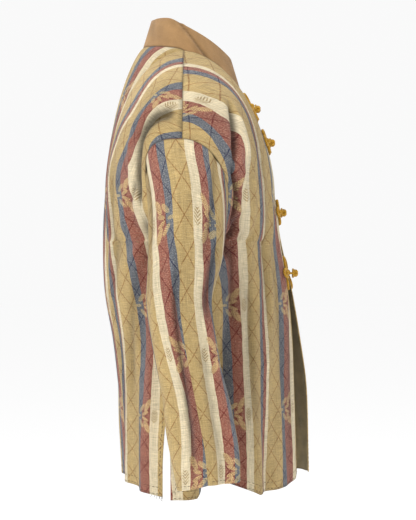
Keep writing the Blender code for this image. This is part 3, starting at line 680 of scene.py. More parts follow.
def collar_panel():
    """The stand collar, from the right front edge round the neck to the left one."""
    corners = []
    for is_back in (False, True):
        count = BACK_STEPS if is_back else FRONT_STEPS
        corners.append(top_edge(is_back, count)[:round(count * NECK_SHARE) + 1])
    corners[0][-1, 1] = SHOULDER_Y
    foot = np.concatenate([corners[0], corners[1][-2::-1]])
    keys = [row.y for row in NECK_SEAM]
    top_y = through(keys, [row.top_y for row in NECK_SEAM], foot[:, 1])
    top_z = through(keys, [row.top_z for row in NECK_SEAM], foot[:, 1])
    top_x = np.maximum(foot[:, 0] * COLLAR_NARROWING, np.minimum(foot[:, 0], FRONT_EDGE_X))
    top = np.stack([top_x, top_y, top_z], axis=-1)
    rise = top - foot
    start = foot + rise / np.linalg.norm(rise, axis=1, keepdims=True) * (SEAM_GAP * 1.4)
    share = np.linspace(0.0, 1.0, COLLAR_STEPS + 1)[:, None, None]
    half = top[None] * (1 - share) + start[None] * share
    right = half * MIRROR
    grid = np.concatenate([right, half[:, -2::-1]], axis=1)
    place = np.linspace(-1.0, 1.0, grid.shape[1])[None]
    hollow = np.zeros(grid.shape[:2])
    for crease in COLLAR_CREASES:
        line = crease.top_place + (crease.foot_place - crease.top_place) * share[:, :, 0]
        hollow = hollow + crease.depth * np.exp(-np.abs((place - line) / crease.half_width) ** CREASE_POWER)
    edge = smoothstep(1.0, 0.75, share[:, :, 0])
    grid = grid - grid_normals(grid) * (hollow * edge)[:, :, None]
    # Painted shade: how dark the collar's colour is made in its creases and along its neck seam
    hollow = np.clip(hollow * edge / COLLAR_DARKEST, 0.0, 1.0)
    hollow[-1] = SEAM_SHADE
    steps = np.linalg.norm(np.diff(grid[-1], axis=0), axis=1)
    girth = np.concatenate([[0.0], np.cumsum(steps)])
    girth = np.broadcast_to(girth, grid.shape[:2])
    length = np.broadcast_to(share[:, :, 0] * COLLAR_HEIGHT, grid.shape[:2])
    return Panel(grid, grid_normals(grid), girth, length, hollow)


STITCH_PITCH = 0.0068
STITCH_LENGTH = 0.0036
STITCH_RADIUS = 0.0004
STITCH_WANDER = 0.0011

# A stitch's section, in radii: how far aside and how far out of the cloth each corner lies
STITCH_SECTION = ((-1, -0.5), (1, -0.5), (0.6, 1), (-0.6, 1))

# Loose threads at the worn corners of the back's hem: how far each starts from the corner, how far
# it leans along the hem and how long it is
Fray = namedtuple("Fray", "start lean length")
FRAYS = (
    Fray(0.000, 0.4, 0.006),
    Fray(0.002, -0.3, 0.008),
    Fray(0.004, 0.8, 0.005),
    Fray(0.006, -0.9, 0.007),
    Fray(0.009, 0.2, 0.005),
    Fray(0.013, -0.5, 0.004),
    Fray(0.018, 0.6, 0.004),
)
FRAY_WIDTH = 0.00045
FRAY_TIP = 0.3


def thread_faces(base):
    """The faces of a four-sided thread whose eight points start at base."""
    faces = [[base + 3, base + 2, base + 1, base], [base + 4, base + 5, base + 6, base + 7]]
    for k in range(4):
        after = (k + 1) % 4
        faces.append([base + k, base + after, base + 4 + after, base + 4 + k])
    return faces


def stitches(panel, rows, columns):
    """Short threads along some rows of a panel, and down some of its columns below the vent's top."""
    low = SHOULDER_STEPS + ARMHOLE_STEPS + VENT_ROW
    lines = [(panel.grid[row], panel.normals[row]) for row in rows]
    lines += [(panel.grid[low:, column], panel.normals[low:, column]) for column in columns]
    points, faces = [], []
    for line, out in lines:
        travelled = np.concatenate([[0.0], np.cumsum(np.linalg.norm(np.diff(line, axis=0), axis=1))])

        def at(values, place):
            """What the values are at a place along the line."""
            return np.array([np.interp(place, travelled, values[:, axis]) for axis in range(3)])

        for i, start in enumerate(np.arange(STITCH_PITCH, travelled[-1] - STITCH_PITCH, STITCH_PITCH)):
            start += STITCH_WANDER * math.sin(i * 12.9)
            first, last = at(line, start), at(line, start + STITCH_LENGTH)
            up = at(out, start)
            aside = np.cross(up, last - first)
            aside = aside / np.linalg.norm(aside)
            shift = aside * STITCH_WANDER * 0.5 * math.sin(i * 7.3)
            faces += thread_faces(len(points))
            for end in (first, last):
                for across, rise in STITCH_SECTION:
                    points.append(end + shift + (aside * across + up * rise) * STITCH_RADIUS)
    return np.array(points), np.array(faces)


def fray_mesh(panel):
    """Loose ends of thread, as thin spikes that hang from both lower corners of a panel."""
    points, faces = [], []
    for corner, beside in ((0, 1), (-1, -2)):
        edge = panel.grid[-1, corner]
        along = panel.grid[-1, beside] - edge
        along = along / np.linalg.norm(along)
        out = panel.normals[-1, corner]
        for fray in FRAYS:
            root = edge + along * fray.start - out * FRAY_WIDTH
            lean = (along * 0.6 + out * 0.3) * fray.lean
            tip = root + (lean + np.array([0.0, 0.0, -1.0])) * fray.length
            faces += thread_faces(len(points))
            for end, width in ((root, FRAY_WIDTH), (tip, FRAY_WIDTH * FRAY_TIP)):
                for shift in (along, out, -along, -out):
                    points.append(end + shift * width)
    return np.array(points), np.array(faces)


# The order of a shell's finishes
OUTER_FINISH = 0
INNER_FINISH = 1
THREAD_FINISH = 2


def shell_object(name, panel, wall, closed=False, rows=(), columns=()):
    """A thin wall of cloth, an outer and an inner grid joined by rims, with cloth coordinates and
    with stitches along the rows and columns that are named."""
    grid = panel.grid[:, :-1] if closed else panel.grid
    normals = panel.normals[:, :-1] if closed else panel.normals
    height, width = grid.shape[:2]
    points = np.concatenate([grid.reshape(-1, 3), (grid - normals * wall).reshape(-1, 3)])
    inside = height * width
    spans = width if closed else width - 1
    i, j = np.meshgrid(np.arange(height - 1), np.arange(spans), indexing="ij")
    i, j = i.ravel(), j.ravel()
    corners = [(i, j), (i + 1, j), (i + 1, j + 1), (i, j + 1)]
    cloth = np.stack([panel.girth, panel.length], axis=-1)
    outer = np.stack([row * width + column % width for row, column in corners], axis=1)
    outer_uv = np.stack([cloth[row, column] for row, column in corners], axis=1)
    turned = [0, 3, 2, 1]
    faces = [outer, outer[:, turned] + inside]
    uvs = [outer_uv, outer_uv[:, turned]]

    def rim(first, second):
        """Join the two grids along an edge, from its first corners to its second ones."""
        a, b = [row * width + column % width for row, column in (first, second)]
        faces.append(np.stack([a, b, b + inside, a + inside], axis=1))
        a, b = cloth[first], cloth[second]
        uvs.append(np.stack([a, b, b, a], axis=1))

    j = np.arange(spans)
    top, foot = np.zeros_like(j), np.full_like(j, height - 1)
    rim((top, j + 1), (top, j))
    rim((foot, j), (foot, j + 1))
    if not closed:
        i = np.arange(height - 1)
        first, last = np.zeros_like(i), np.full_like(i, width - 1)
        rim((i, first), (i + 1, first))
        rim((i + 1, last), (i, last))
    cloth_faces = sum(len(part) for part in faces)
    hollow = panel.hollow[:, :-1] if closed else panel.hollow
    hollows = np.tile(hollow.ravel(), 2)
    if rows:
        thread_points, thread_faces = stitches(panel, rows, columns)
        faces.append(thread_faces + len(points))
        uvs.append(np.zeros((len(thread_faces), 4, 2)))
        points = np.concatenate([points, thread_points])
        hollows = np.concatenate([hollows, np.zeros(len(thread_points))])
    item = mesh_object(name, points, np.concatenate(faces), np.concatenate(uvs))
    finishes = np.full(len(item.data.polygons), OUTER_FINISH, np.int32)
    finishes[len(outer):2 * len(outer)] = INNER_FINISH
    finishes[cloth_faces:] = THREAD_FINISH
    item.data.polygons.foreach_set("material_index", finishes)
    layer = item.data.attributes.new("hollow", "FLOAT", "POINT")
    layer.data.foreach_set("value", hollows.astype(np.float32))
    return item


SHARP_ANGLE = math.radians(55)


def mesh_object(name, points, faces, uvs=None):
    """A named object in the scene, smooth but for its sharp edges."""
    data = bpy.data.meshes.new(name)
    data.from_pydata([tuple(p) for p in points], [], [tuple(int(v) for v in f) for f in faces])
    if uvs is not None:
        layer = data.uv_layers.new(name="cloth")
        layer.data.foreach_set("uv", np.asarray(uvs, np.float32).ravel())
    data.shade_smooth()
    data.set_sharp_from_angle(angle=SHARP_ANGLE)
    item = bpy.data.objects.new(name, data)
    bpy.context.scene.collection.objects.link(item)
    return item


Frog = namedtuple("Frog", "z lobe_length")
FROGS = (Frog(-0.0765, 0.0175), Frog(-0.133, 0.0150), Frog(-0.250, 0.0165), Frog(-0.351, 0.0235))
FROG_CENTRE = 0.0170
LOBE_WIDTH = 0.0120
LOBE_CORE = 0.0030
LOBE_STEPS = 28
HUB_RADIUS = 0.0036
HUB_CORE = 0.0042
CORD_RADIUS = 0.0023
CORD_LIFT = 0.0006
NECK_RADIUS = 0.0019
NECK_BEND = np.array([0.0025, -0.0027, 0.0])
KNOT_RADIUS = 0.0047
KNOT_CORE = 0.92
KNOT_CORD = 0.0016
KNOT_STAND = 0.0112
KNOT_STEPS = 90
LOOP_RADIUS = 0.0066
LOOP_STAND = 0.0078
LOOP_STEPS = 24
BALL_RINGS = 12
CLOTH_STEP = 0.006

# A cord's strands: how far each lies from the cord's middle and how thick it is, in cord radii
STRANDS = 3
STRAND_SIDES = 7
STRAND_OFFSET = 0.47
STRAND_RADIUS = 0.56
STRAND_END = 0.05
CORD_STEP = 0.0011
TWIST_LENGTH = 0.0085


def cloth_place(grid, side, across, z):
    """The point of a front panel at a distance from its edge at one height, and its outward normal."""
    def spot(away, height):
        """The point of the cloth at a distance from the edge at one height."""
        column = min(max(away, 0.0) / FRONT_CUT, 1.0) * (grid.shape[1] - 1)
        j = min(int(column), grid.shape[1] - 2)
        ends = []
        for k in (j, j + 1):
            line = grid[:, k]
            ends.append(np.array([np.interp(-height, -line[:, 2], line[:, axis]) for axis in range(3)]))
        return ends[0] + (ends[1] - ends[0]) * (column - j)

    away = spot(across + CLOTH_STEP, z) - spot(max(across - CLOTH_STEP, 0.0), z)
    up = spot(across, z + CLOTH_STEP) - spot(across, z - CLOTH_STEP)
    out = np.cross(away, up) * side
    return spot(across, z), out / np.linalg.norm(out)


def on_cloth(grid, side, across, z, height):
    """A point at this height over a front panel."""
    point, out = cloth_place(grid, side, across, z)
    return point + out * height


def tube_mesh(centres, first, second, radius, closed):
    """A round tube along centres, with ends that close to a point or joined round."""
    count = len(centres)
    angle = np.linspace(0.0, 2 * math.pi, STRAND_SIDES, endpoint=False)
    taper = np.ones(count)
    if not closed:
        taper[0] = taper[-1] = STRAND_END
    ring = first[:, None] * np.cos(angle)[None, :, None] + second[:, None] * np.sin(angle)[None, :, None]
    points = (centres[:, None] + ring * (radius * taper)[:, None, None]).reshape(-1, 3)
    spans = count if closed else count - 1
    i, j = np.meshgrid(np.arange(spans), np.arange(STRAND_SIDES), indexing="ij")
    i, j = i.ravel(), j.ravel()
    after, beside = (i + 1) % count, (j + 1) % STRAND_SIDES
    faces = np.stack([i * STRAND_SIDES + j, i * STRAND_SIDES + beside,
                      after * STRAND_SIDES + beside, after * STRAND_SIDES + j], axis=1)
    return points, faces


def twisted_cord(route, radius, closed=False):
    """Round strands wound about each other along a route."""
    route = np.array(route + route[:1] if closed else route)
    length = np.linalg.norm(np.diff(route, axis=0), axis=1).sum()
    points = spread(route, max(round(length / CORD_STEP), 8))
    if closed:
        points = points[:-1]
        ways = np.roll(points, -1, axis=0) - np.roll(points, 1, axis=0)
    else:
        ways = np.gradient(points, axis=0)
    ways = ways / np.linalg.norm(ways, axis=1, keepdims=True)
    first = np.empty_like(points)
    normal = np.cross(ways[0], (0.31, 0.52, 0.79))
    for i, way in enumerate(ways):
        normal = normal - way * normal.dot(way)
        normal = normal / np.linalg.norm(normal)
        first[i] = normal
    second = np.cross(ways, first)
    share = np.arange(len(points)) / (len(points) if closed else len(points) - 1)
    slip = 0.0
    if closed:
        slip = -math.atan2(normal.dot(second[0]), normal.dot(first[0]))
    turns = max(round(length / TWIST_LENGTH), 1) * 2 * math.pi
    made = []
    for strand in range(STRANDS):
        phase = 2 * math.pi * strand / STRANDS + (turns + slip) * share
        aside = first * np.cos(phase)[:, None] + second * np.sin(phase)[:, None]
        centres = points + aside * radius * STRAND_OFFSET
        made.append(tube_mesh(centres, first, second, radius * STRAND_RADIUS, closed))
    return made


def knot_route(centre, radius):
    """A cord's route round and round a ball, crossing over itself, as in a button knot."""
    route = []
    for share in np.linspace(0.0, 1.0, KNOT_STEPS, endpoint=False):
        turn = 4 * math.pi * share
        rise = 1.05 * math.sin(10 * math.pi * share)
        reach = radius * (1.0 + 0.10 * math.cos(20 * math.pi * share))
        route.append(centre + reach * np.array([math.cos(rise) * math.cos(turn), math.sin(rise),
                                                math.cos(rise) * math.sin(turn)]))
    return route


def ball_mesh(centre, radius):
    """The round core inside a knot, as a tube that swells and closes again."""
    turn = np.linspace(0.0, math.pi, BALL_RINGS)
    line = centre + np.cos(turn)[:, None] * np.array([0.0, radius, 0.0])
    girths = np.maximum(np.sin(turn), 0.02) * radius
    first = np.tile((1.0, 0.0, 0.0), (BALL_RINGS, 1))
    second = np.tile((0.0, 0.0, 1.0), (BALL_RINGS, 1))
    points, faces = tube_mesh(line, first, second, 1.0, True)
    ring = points.reshape(BALL_RINGS, STRAND_SIDES, 3) - line[:, None]
    points = (line[:, None] + ring * girths[:, None, None]).reshape(-1, 3)
    return points, faces[:(BALL_RINGS - 1) * STRAND_SIDES]


def frog_object(name, grid, side, frog, edge_y):
    """One half of a frog, its cords laid on the cloth and its knot or eye before the front edge."""
    height = CORD_RADIUS + CORD_LIFT
    parts = []
    for turn in range(3):
        route = []
        for angle in np.linspace(0.0, 2 * math.pi, LOBE_STEPS, endpoint=False):
            reach = LOBE_CORE + frog.lobe_length * (0.5 - 0.5 * math.cos(angle))
            aside = LOBE_WIDTH / 2 * math.sin(angle) * (1.15 - 0.3 * math.cos(angle))
            away, rise = (reach, aside) if turn == 1 else (aside, reach * (1 - turn))
            route.append(on_cloth(grid, side, FROG_CENTRE + away, frog.z + rise, height))
        parts += twisted_cord(route, CORD_RADIUS, closed=True)
    hub = on_cloth(grid, side, FROG_CENTRE, frog.z, height * 1.3)
    parts.append(ball_mesh(hub, HUB_CORE))
    parts += twisted_cord(knot_route(hub, HUB_RADIUS), KNOT_CORD, closed=True)
    forward = np.array([0.0, -1.0, 0.0])
    front = np.array([0.0, edge_y, frog.z])
    inner = on_cloth(grid, side, FROG_CENTRE * 0.5, frog.z, height)
    if side == LEFT:
        knot = front + forward * KNOT_STAND
        parts += twisted_cord([hub, inner, front + NECK_BEND, knot], NECK_RADIUS)
        parts.append(ball_mesh(knot, KNOT_RADIUS * KNOT_CORE))
        parts += twisted_cord(knot_route(knot, KNOT_RADIUS), KNOT_CORD, closed=True)
    else:
        eye = front + forward * LOOP_STAND
        ring = [eye + LOOP_RADIUS * np.array([math.cos(a), 0.0, math.sin(a)])
                for a in np.linspace(0.0, 2 * math.pi, LOOP_STEPS, endpoint=False)]
        parts += twisted_cord(ring, KNOT_CORD, closed=True)
        parts += twisted_cord([hub, inner, eye - np.array([LOOP_RADIUS, 0.0, 0.0])], NECK_RADIUS)
    points, faces, base = [], [], 0
    for part_points, part_faces in parts:
        points.append(part_points)
        faces.append(part_faces + base)
        base += len(part_points)
    return mesh_object(name, np.concatenate(points), np.concatenate(faces))


# Noise on the cloth: how many bumps it has to the metre across and along, and its finer layers
Grain = namedtuple("Grain", "across along detail")
WAVER = Grain(12.0, 45.0, 3.0)
FLECKS = Grain(520.0, 900.0, 1.0)
WEAR = Grain(260.0, 260.0, 2.0)
WARP = Grain(900.0, 35.0, 2.0)
WEFT = Grain(60.0, 1100.0, 2.0)
CLOUDS = Grain(22.0, 9.0, 3.0)
SLUBS = Grain(140.0, 900.0, 2.0)
PLAIN_CLOUDS = Grain(40.0, 40.0, 4.0)
PLAIN_WEAVE = Grain(700.0, 700.0, 1.0)


class Graph:
    """A short way to write a material's nodes."""

    def __init__(self, name):
        self.material = bpy.data.materials.new(name)
        self.material.use_nodes = True
        self.tree = self.material.node_tree
        self.shader = self.tree.nodes["Principled BSDF"]

    def feed(self, socket, value):
        """Link a socket or set a plain value."""
        if isinstance(value, bpy.types.NodeSocket):
            self.tree.links.new(value, socket)
        else:
            socket.default_value = value

    def node(self, kind, **settings):
        made = self.tree.nodes.new(kind)
        for key, value in settings.items():
            setattr(made, key, value)
        return made

    def math(self, operation, first, second=0.0):
        made = self.node("ShaderNodeMath", operation=operation)
        for socket, value in zip(made.inputs, (first, second)):
            self.feed(socket, value)
        return made.outputs[0]

    def plus(self, first, second):
        return self.math("ADD", first, second)

    def minus(self, first, second):
        return self.math("SUBTRACT", first, second)

    def times(self, first, second):
        return self.math("MULTIPLY", first, second)

    def over(self, first, second):
        return self.math("DIVIDE", first, second)

    def mix(self, share, first, second, blend="MIX"):
        made = self.node("ShaderNodeMix", data_type="RGBA", blend_type=blend)
        self.feed(made.inputs[0], share)
        self.feed(made.inputs[6], first)
        self.feed(made.inputs[7], second)
        return made.outputs[2]

    def vector(self, x, y, z=0.0):
        made = self.node("ShaderNodeCombineXYZ")
        for socket, value in zip(made.inputs, (x, y, z)):
            self.feed(socket, value)
        return made.outputs[0]

    def noise(self, place, scale, detail):
        made = self.node("ShaderNodeTexNoise")
        self.feed(made.inputs["Vector"], place)
        made.inputs["Scale"].default_value = scale
        made.inputs["Detail"].default_value = detail
        return made.outputs["Fac"]

    def cloth_place(self):
        """Metres across the cloth and down it, as two sockets."""
        place = self.node("ShaderNodeUVMap", uv_map="cloth").outputs[0]
        split = self.node("ShaderNodeSeparateXYZ")
        self.feed(split.inputs[0], place)
        return split.outputs[0], split.outputs[1]

    def grain(self, across, along, grain):
        """Noise stretched along or across the cloth."""
        place = self.vector(self.times(across, grain.across), self.times(along, grain.along))
        return self.noise(place, 1.0, grain.detail)

    def shaded(self, colour, shade):
        """A colour made lighter or darker by a shade around 1."""
        return self.mix(1.0, colour, self.vector(shade, shade, shade), "MULTIPLY")

    def finish(self, colour, roughness, specular, sheen=0.0):
        """Set what the whole finish has in common, and hand it over."""
        self.feed(self.shader.inputs["Base Color"], colour)
        self.shader.inputs["Roughness"].default_value = roughness
        self.shader.inputs["Specular IOR Level"].default_value = specular
        self.shader.inputs["Sheen Weight"].default_value = sheen
        return self.material

    def between(self, value, low, high, to_low, to_high):
        """A value between low and high, mapped to its place between to_low and to_high."""
        made = self.node("ShaderNodeMapRange", clamp=True)
        for socket, number in zip(made.inputs, (value, low, high, to_low, to_high)):
            self.feed(socket, number)
        return made.outputs[0]

    def stripes(self, share, colours, table):
        """A hard-edged ramp across one repeat, its colour taken by the name of each stripe."""
        repeat = sum(stripe.width for stripe in table)
        made = self.node("ShaderNodeValToRGB")
        ramp = made.color_ramp
        ramp.interpolation = "CONSTANT"
        place = 0.0
        for i, stripe in enumerate(table):
            if i < 2:
                stop = ramp.elements[i]
                stop.position = place / repeat
            else:
                stop = ramp.elements.new(place / repeat)
            stop.color = colours[stripe.cloth]
            place += stripe.width
        self.feed(made.inputs[0], share)
        return made.outputs[0]


Cloth = namedtuple("Cloth", "ground lattice figure fleck")
GOLD = Cloth((0.415, 0.290, 0.114, 1.0), (0.230, 0.105, 0.025, 1.0), (0.255, 0.140, 0.040, 1.0),
             (0.520, 0.390, 0.185, 1.0))
RED = Cloth((0.225, 0.068, 0.043, 1.0), (0.110, 0.003, 0.003, 1.0), (0.600, 0.440, 0.190, 1.0),
            (0.470, 0.270, 0.185, 1.0))
BLUE = Cloth((0.088, 0.096, 0.115, 1.0), (0.008, 0.009, 0.045, 1.0), (0.520, 0.400, 0.180, 1.0),
             (0.310, 0.310, 0.290, 1.0))
CREAM = Cloth((0.600, 0.505, 0.330, 1.0), (0.600, 0.505, 0.330, 1.0), (0.270, 0.170, 0.055, 1.0),
              (0.680, 0.600, 0.430, 1.0))
CLOTHS = {"gold": GOLD, "red": RED, "blue": BLUE, "cream": CREAM}

FOLD_SHADE = 0.34
STRIPE_WAVER = 0.0034
WARP_PITCH = 0.0007
WEFT_PITCH = 0.0008
STRIPED_WEAVE_HEIGHT = 0.00012
PLAIN_WEAVE_HEIGHT = 0.00010
YARN_GRAIN = 1800.0
YARN_PATCHES = 160.0

# The lattice and the sprays. A lattice line fades from full to none between two shares of a
# diamond, and a hatch is in radians to the metre.
DIAMOND_WIDTH = 0.0340
DIAMOND_HEIGHT = 0.0430
LATTICE_LINE = (0.016, 0.040)
SPRAY_REPEAT = 0.1720
HEAD_HALF_SIZE = (0.0058, 0.0120)
HEAD_HATCH = 1500.0
LEAF_HATCH = 2300.0
Leaf = namedtuple("Leaf", "aside rise tilt half_length half_width")
LEAVES = [
    Leaf(-0.0130, 0.0170, 58, 0.0115, 0.0046),
    Leaf(-0.0130, -0.0170, -58, 0.0115, 0.0046),
    Leaf(-0.0270, 0.0120, 40, 0.0095, 0.0036),
    Leaf(-0.0270, -0.0120, -40, 0.0095, 0.0036),
    Leaf(-0.0180, 0.0045, 22, 0.0080, 0.0028),
    Leaf(-0.0180, -0.0045, -22, 0.0080, 0.0028),
    Leaf(-0.0360, 0.0000, 0, 0.0060, 0.0024),
]


def striped_material(name, table, red_centre, spray_centres, spray_way):
    """Woven stripes with a fine lattice and leaf sprays, laid out in metres on the cloth."""
    g = Graph(name)
    repeat = sum(stripe.width for stripe in table)
    across, along = g.cloth_place()
    across = g.plus(across, g.times(g.minus(g.grain(across, along, WAVER), 0.5), STRIPE_WAVER))
    share = g.math("FRACT", g.over(across, repeat))
    ground, lattice_colour, figure_colour, fleck_colour = [
        g.stripes(share, {key: getattr(cloth, part) for key, cloth in CLOTHS.items()}, table)
        for part in ("ground", "lattice", "figure", "fleck")]
    flecks = g.grain(across, along, FLECKS)
    ground = g.mix(g.between(flecks, 0.50, 0.66, 0.0, 0.75), ground, fleck_colour)

    wear = g.grain(across, along, WEAR)
    lattice = g.times(lattice_lines(g, g.minus(across, red_centre), along),
                      g.between(wear, 0.30, 0.60, 0.30, 0.95))
    fall = g.math("FRACT", g.over(along, SPRAY_REPEAT))
    y = g.times(g.minus(fall, 0.5), SPRAY_REPEAT)
    figure = None
    for centre in spray_centres:
        x = g.minus(g.times(share, repeat * spray_way), centre * spray_way)
        for part in [flower_head(g, x, y)] + [leaf_shape(g, x, y, leaf) for leaf in LEAVES]:
            figure = part if figure is None else g.math("MAXIMUM", figure, part)
    figure = g.times(figure, g.between(wear, 0.25, 0.50, 0.45, 1.0))
    colour = g.mix(lattice, ground, lattice_colour)
    colour = g.mix(figure, colour, figure_colour)

    shade = g.plus(g.between(g.grain(across, along, WARP), 0.25, 0.75, -0.22, 0.22),
                   g.between(g.grain(across, along, WEFT), 0.25, 0.75, -0.30, 0.30))
    shade = g.plus(shade, g.between(g.grain(across, along, CLOUDS), 0.3, 0.7, -0.10, 0.10))
    # Painted shade in the creases and along the seams and hem
    shade = g.times(g.plus(shade, 1.0), painted_fold_shade(g))
    weave_bump(g, across, along, STRIPED_WEAVE_HEIGHT)
    return g.finish(g.shaded(colour, shade), roughness=0.82, specular=0.25, sheen=0.12)


def lattice_lines(g, x, y):
    """Fine lines that cross to make diamonds."""
    u, v = g.over(x, DIAMOND_WIDTH), g.over(y, DIAMOND_HEIGHT)
    lines = []
    for operation in ("ADD", "SUBTRACT"):
        phase = g.math("FRACT", g.plus(g.math(operation, u, v), 0.5))
        distance = g.math("ABSOLUTE", g.minus(phase, 0.5))
        lines.append(g.between(distance, *LATTICE_LINE, 1.0, 0.0))
    return g.math("MAXIMUM", *lines)


def ellipse(g, x, y, half_length, half_width):
    """The square of how far each point lies from an ellipse's middle, as a share of its edge."""
    squares = [g.math("POWER", g.math("ABSOLUTE", g.over(way, half)), 2.0)
               for way, half in ((x, half_length), (y, half_width))]
    return g.plus(*squares)


def leaf_shape(g, x, y, leaf):
    """A hatched leaf: an ellipse turned on its stem."""
    tilt = math.radians(leaf.tilt)
    cosine, sine = math.cos(tilt), math.sin(tilt)
    dx, dy = g.minus(x, leaf.aside), g.minus(y, leaf.rise)
    along = g.plus(g.times(dx, cosine), g.times(dy, sine))
    aside = g.minus(g.times(dy, cosine), g.times(dx, sine))
    body = g.between(ellipse(g, along, aside, leaf.half_length, leaf.half_width), 0.8, 1.1, 1.0, 0.0)
    ribs = g.math("SINE", g.times(g.minus(along, g.math("ABSOLUTE", aside)), LEAF_HATCH))
    return g.times(body, g.between(ribs, -0.4, 0.2, 0.10, 1.0))


def flower_head(g, x, y):
    """A hatched head on the cream stripe."""
    body = g.between(ellipse(g, x, y, *HEAD_HALF_SIZE), 0.55, 1.10, 1.0, 0.0)
    ribs = g.math("SINE", g.times(g.plus(y, g.math("ABSOLUTE", x)), HEAD_HATCH))
    return g.times(body, g.between(ribs, -0.3, 0.3, 0.0, 0.85))


def weave_bump(g, across, along, height):
    """The threads of the weave and its uneven wefts, as a bump of this height."""
    threads = [g.math("SINE", g.times(way, 2 * math.pi / pitch))
               for way, pitch in ((across, WARP_PITCH), (along, WEFT_PITCH))]
    slubs = g.times(g.grain(across, along, SLUBS), 3.0)
    bump = g.node("ShaderNodeBump")
    bump.inputs["Strength"].default_value = 1.0
    bump.inputs["Distance"].default_value = height
    g.feed(bump.inputs["Height"], g.plus(g.plus(*threads), slubs))
    g.feed(g.shader.inputs["Normal"], bump.outputs[0])


def painted_fold_shade(g):
    """Painted shade: the cloth's colour is made darker by the hollow attribute, in its creases and along
    its seams and hem.
    """
    hollow = g.node("ShaderNodeAttribute", attribute_name="hollow").outputs["Fac"]
    return g.between(hollow, 0.0, 1.0, 1.0, FOLD_SHADE)


def plain_material(name, colour, roughness, spread_of_shade=0.10):
    """Plain cloth with a fine weave and soft changes of shade."""
    g = Graph(name)
    across, along = g.cloth_place()
    clouds = g.between(g.grain(across, along, PLAIN_CLOUDS), 0.3, 0.7,
                       1.0 - spread_of_shade, 1.0 + spread_of_shade)
    weave = g.between(g.grain(across, along, PLAIN_WEAVE), 0.3, 0.7, -0.08, 0.08)
    # Painted shade where the hollow attribute marks creases and seams
    shade = g.times(g.plus(clouds, weave), painted_fold_shade(g))
    weave_bump(g, across, along, PLAIN_WEAVE_HEIGHT)
    return g.finish(g.shaded(colour, shade), roughness, specular=0.25, sheen=0.10)


def cord_material(name, colour):
    """Cord of soft yarn, a little uneven in its shade."""
    g = Graph(name)
    place = g.node("ShaderNodeTexCoord").outputs["Object"]
    shade = g.plus(g.between(g.noise(place, YARN_GRAIN, 2.0), 0.3, 0.7, 0.80, 1.15),
                   g.between(g.noise(place, YARN_PATCHES, 2.0), 0.3, 0.7, -0.12, 0.10))
    return g.finish(g.shaded(colour, shade), roughness=0.6, specular=0.35, sheen=0.2)


def dress(item, materials, nodes):
    """Give a piece its finish, its body and the solids that it stands for."""
    for material in materials:
        item.data.materials.append(material)
    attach(item, "root")
    if nodes:
        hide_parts(*nodes)


# The finishes made so far, which later pieces share
MADE = {}
THREAD_COLOUR = (0.060, 0.040, 0.025, 1.0)
# The coat's inner faces: a plain dark beige, partly the cloth's own colour and partly painted shade of the
# coat's shaded inside
INSIDE_SHADED_COLOUR = (0.215, 0.162, 0.078, 1.0)

# Where the middle of a red stripe lies on each striped cloth, and where the sprays' heads do
BODY_RED_CENTRE = 0.0235
BODY_SPRAYS = (0.0405,)
SLEEVE_RED_CENTRE = 0.0520
SLEEVE_SPRAYS = (0.0375, 0.1595)

# The rows and columns of each shell that are stitched, counted from its edges
HEM_STITCHES = (-2, -5)
CUFF_STITCHES = (-3,)
BACK_VENT_STITCHES = (2, -3)
FRONT_EDGE_STITCHES = (-4, 3)


def coat_props():
    """The settings that the panel shows."""
    return bpy.context.scene.striped_coat


class CoatProperties(bpy.types.PropertyGroup):
    wall: bpy.props.FloatProperty(
        name="Cloth thickness", description="Thickness of the striped cloth",
        default=0.0013, min=0.0005, max=0.003, unit="LENGTH")
    collar_wall: bpy.props.FloatProperty(
        name="Collar thickness", description="Thickness of the doubled collar band",
        default=0.0024, min=0.001, max=0.004, unit="LENGTH")
    collar_colour: bpy.props.FloatVectorProperty(
        name="Collar", description="Colour of the plain collar cloth",
        default=(0.345, 0.200, 0.084, 1.0), size=4, min=0.0, max=1.0, subtype="COLOR")
    cord_colour: bpy.props.FloatVectorProperty(
        name="Cord", description="Colour of the frogs' cord",
        default=(0.460, 0.245, 0.008, 1.0), size=4, min=0.0, max=1.0, subtype="COLOR")


class COAT_OT_back(bpy.types.Operator):
    """Make the back panel with its folds"""
    bl_idname = "coat.back"
    bl_label = "Back"

    def execute(self, context):
        MADE["striped"] = striped_material("striped_cloth", STRIPES, BODY_RED_CENTRE, BODY_SPRAYS, 1)
        MADE["sleeve"] = striped_material("striped_sleeve_cloth", SLEEVE_STRIPES, SLEEVE_RED_CENTRE,
                                          SLEEVE_SPRAYS, -1)
        MADE["thread"] = plain_material("thread", THREAD_COLOUR, 0.8)
        MADE["inside"] = plain_material("cloth_inside", INSIDE_SHADED_COLOUR, 0.9, 0.22)
        item = shell_object("cloth_back", back_panel(), coat_props().wall, rows=HEM_STITCHES,
                            columns=BACK_VENT_STITCHES)
        dress(item, (MADE["striped"], MADE["inside"], MADE["thread"]), ["back"])
        return {"FINISHED"}


class COAT_OT_frays(bpy.types.Operator):
    """Hang loose threads from the worn corners of the back's hem"""
    bl_idname = "coat.frays"
    bl_label = "Frayed corners"

    def execute(self, context):
        item = mesh_object("hem_frays", *fray_mesh(back_panel()))
        dress(item, (MADE["thread"],), ())
        return {"FINISHED"}


class COAT_OT_fronts(bpy.types.Operator):
    """Make the two front panels, open down the middle"""
    bl_idname = "coat.fronts"
    bl_label = "Fronts"

    def execute(self, context):
        for side, name in ((RIGHT, "right"), (LEFT, "left")):
            item = shell_object("cloth_front_" + name, front_panel(side), coat_props().wall,
                                rows=HEM_STITCHES, columns=FRONT_EDGE_STITCHES)
            dress(item, (MADE["striped"], MADE["inside"], MADE["thread"]), ["front_" + name])
        return {"FINISHED"}


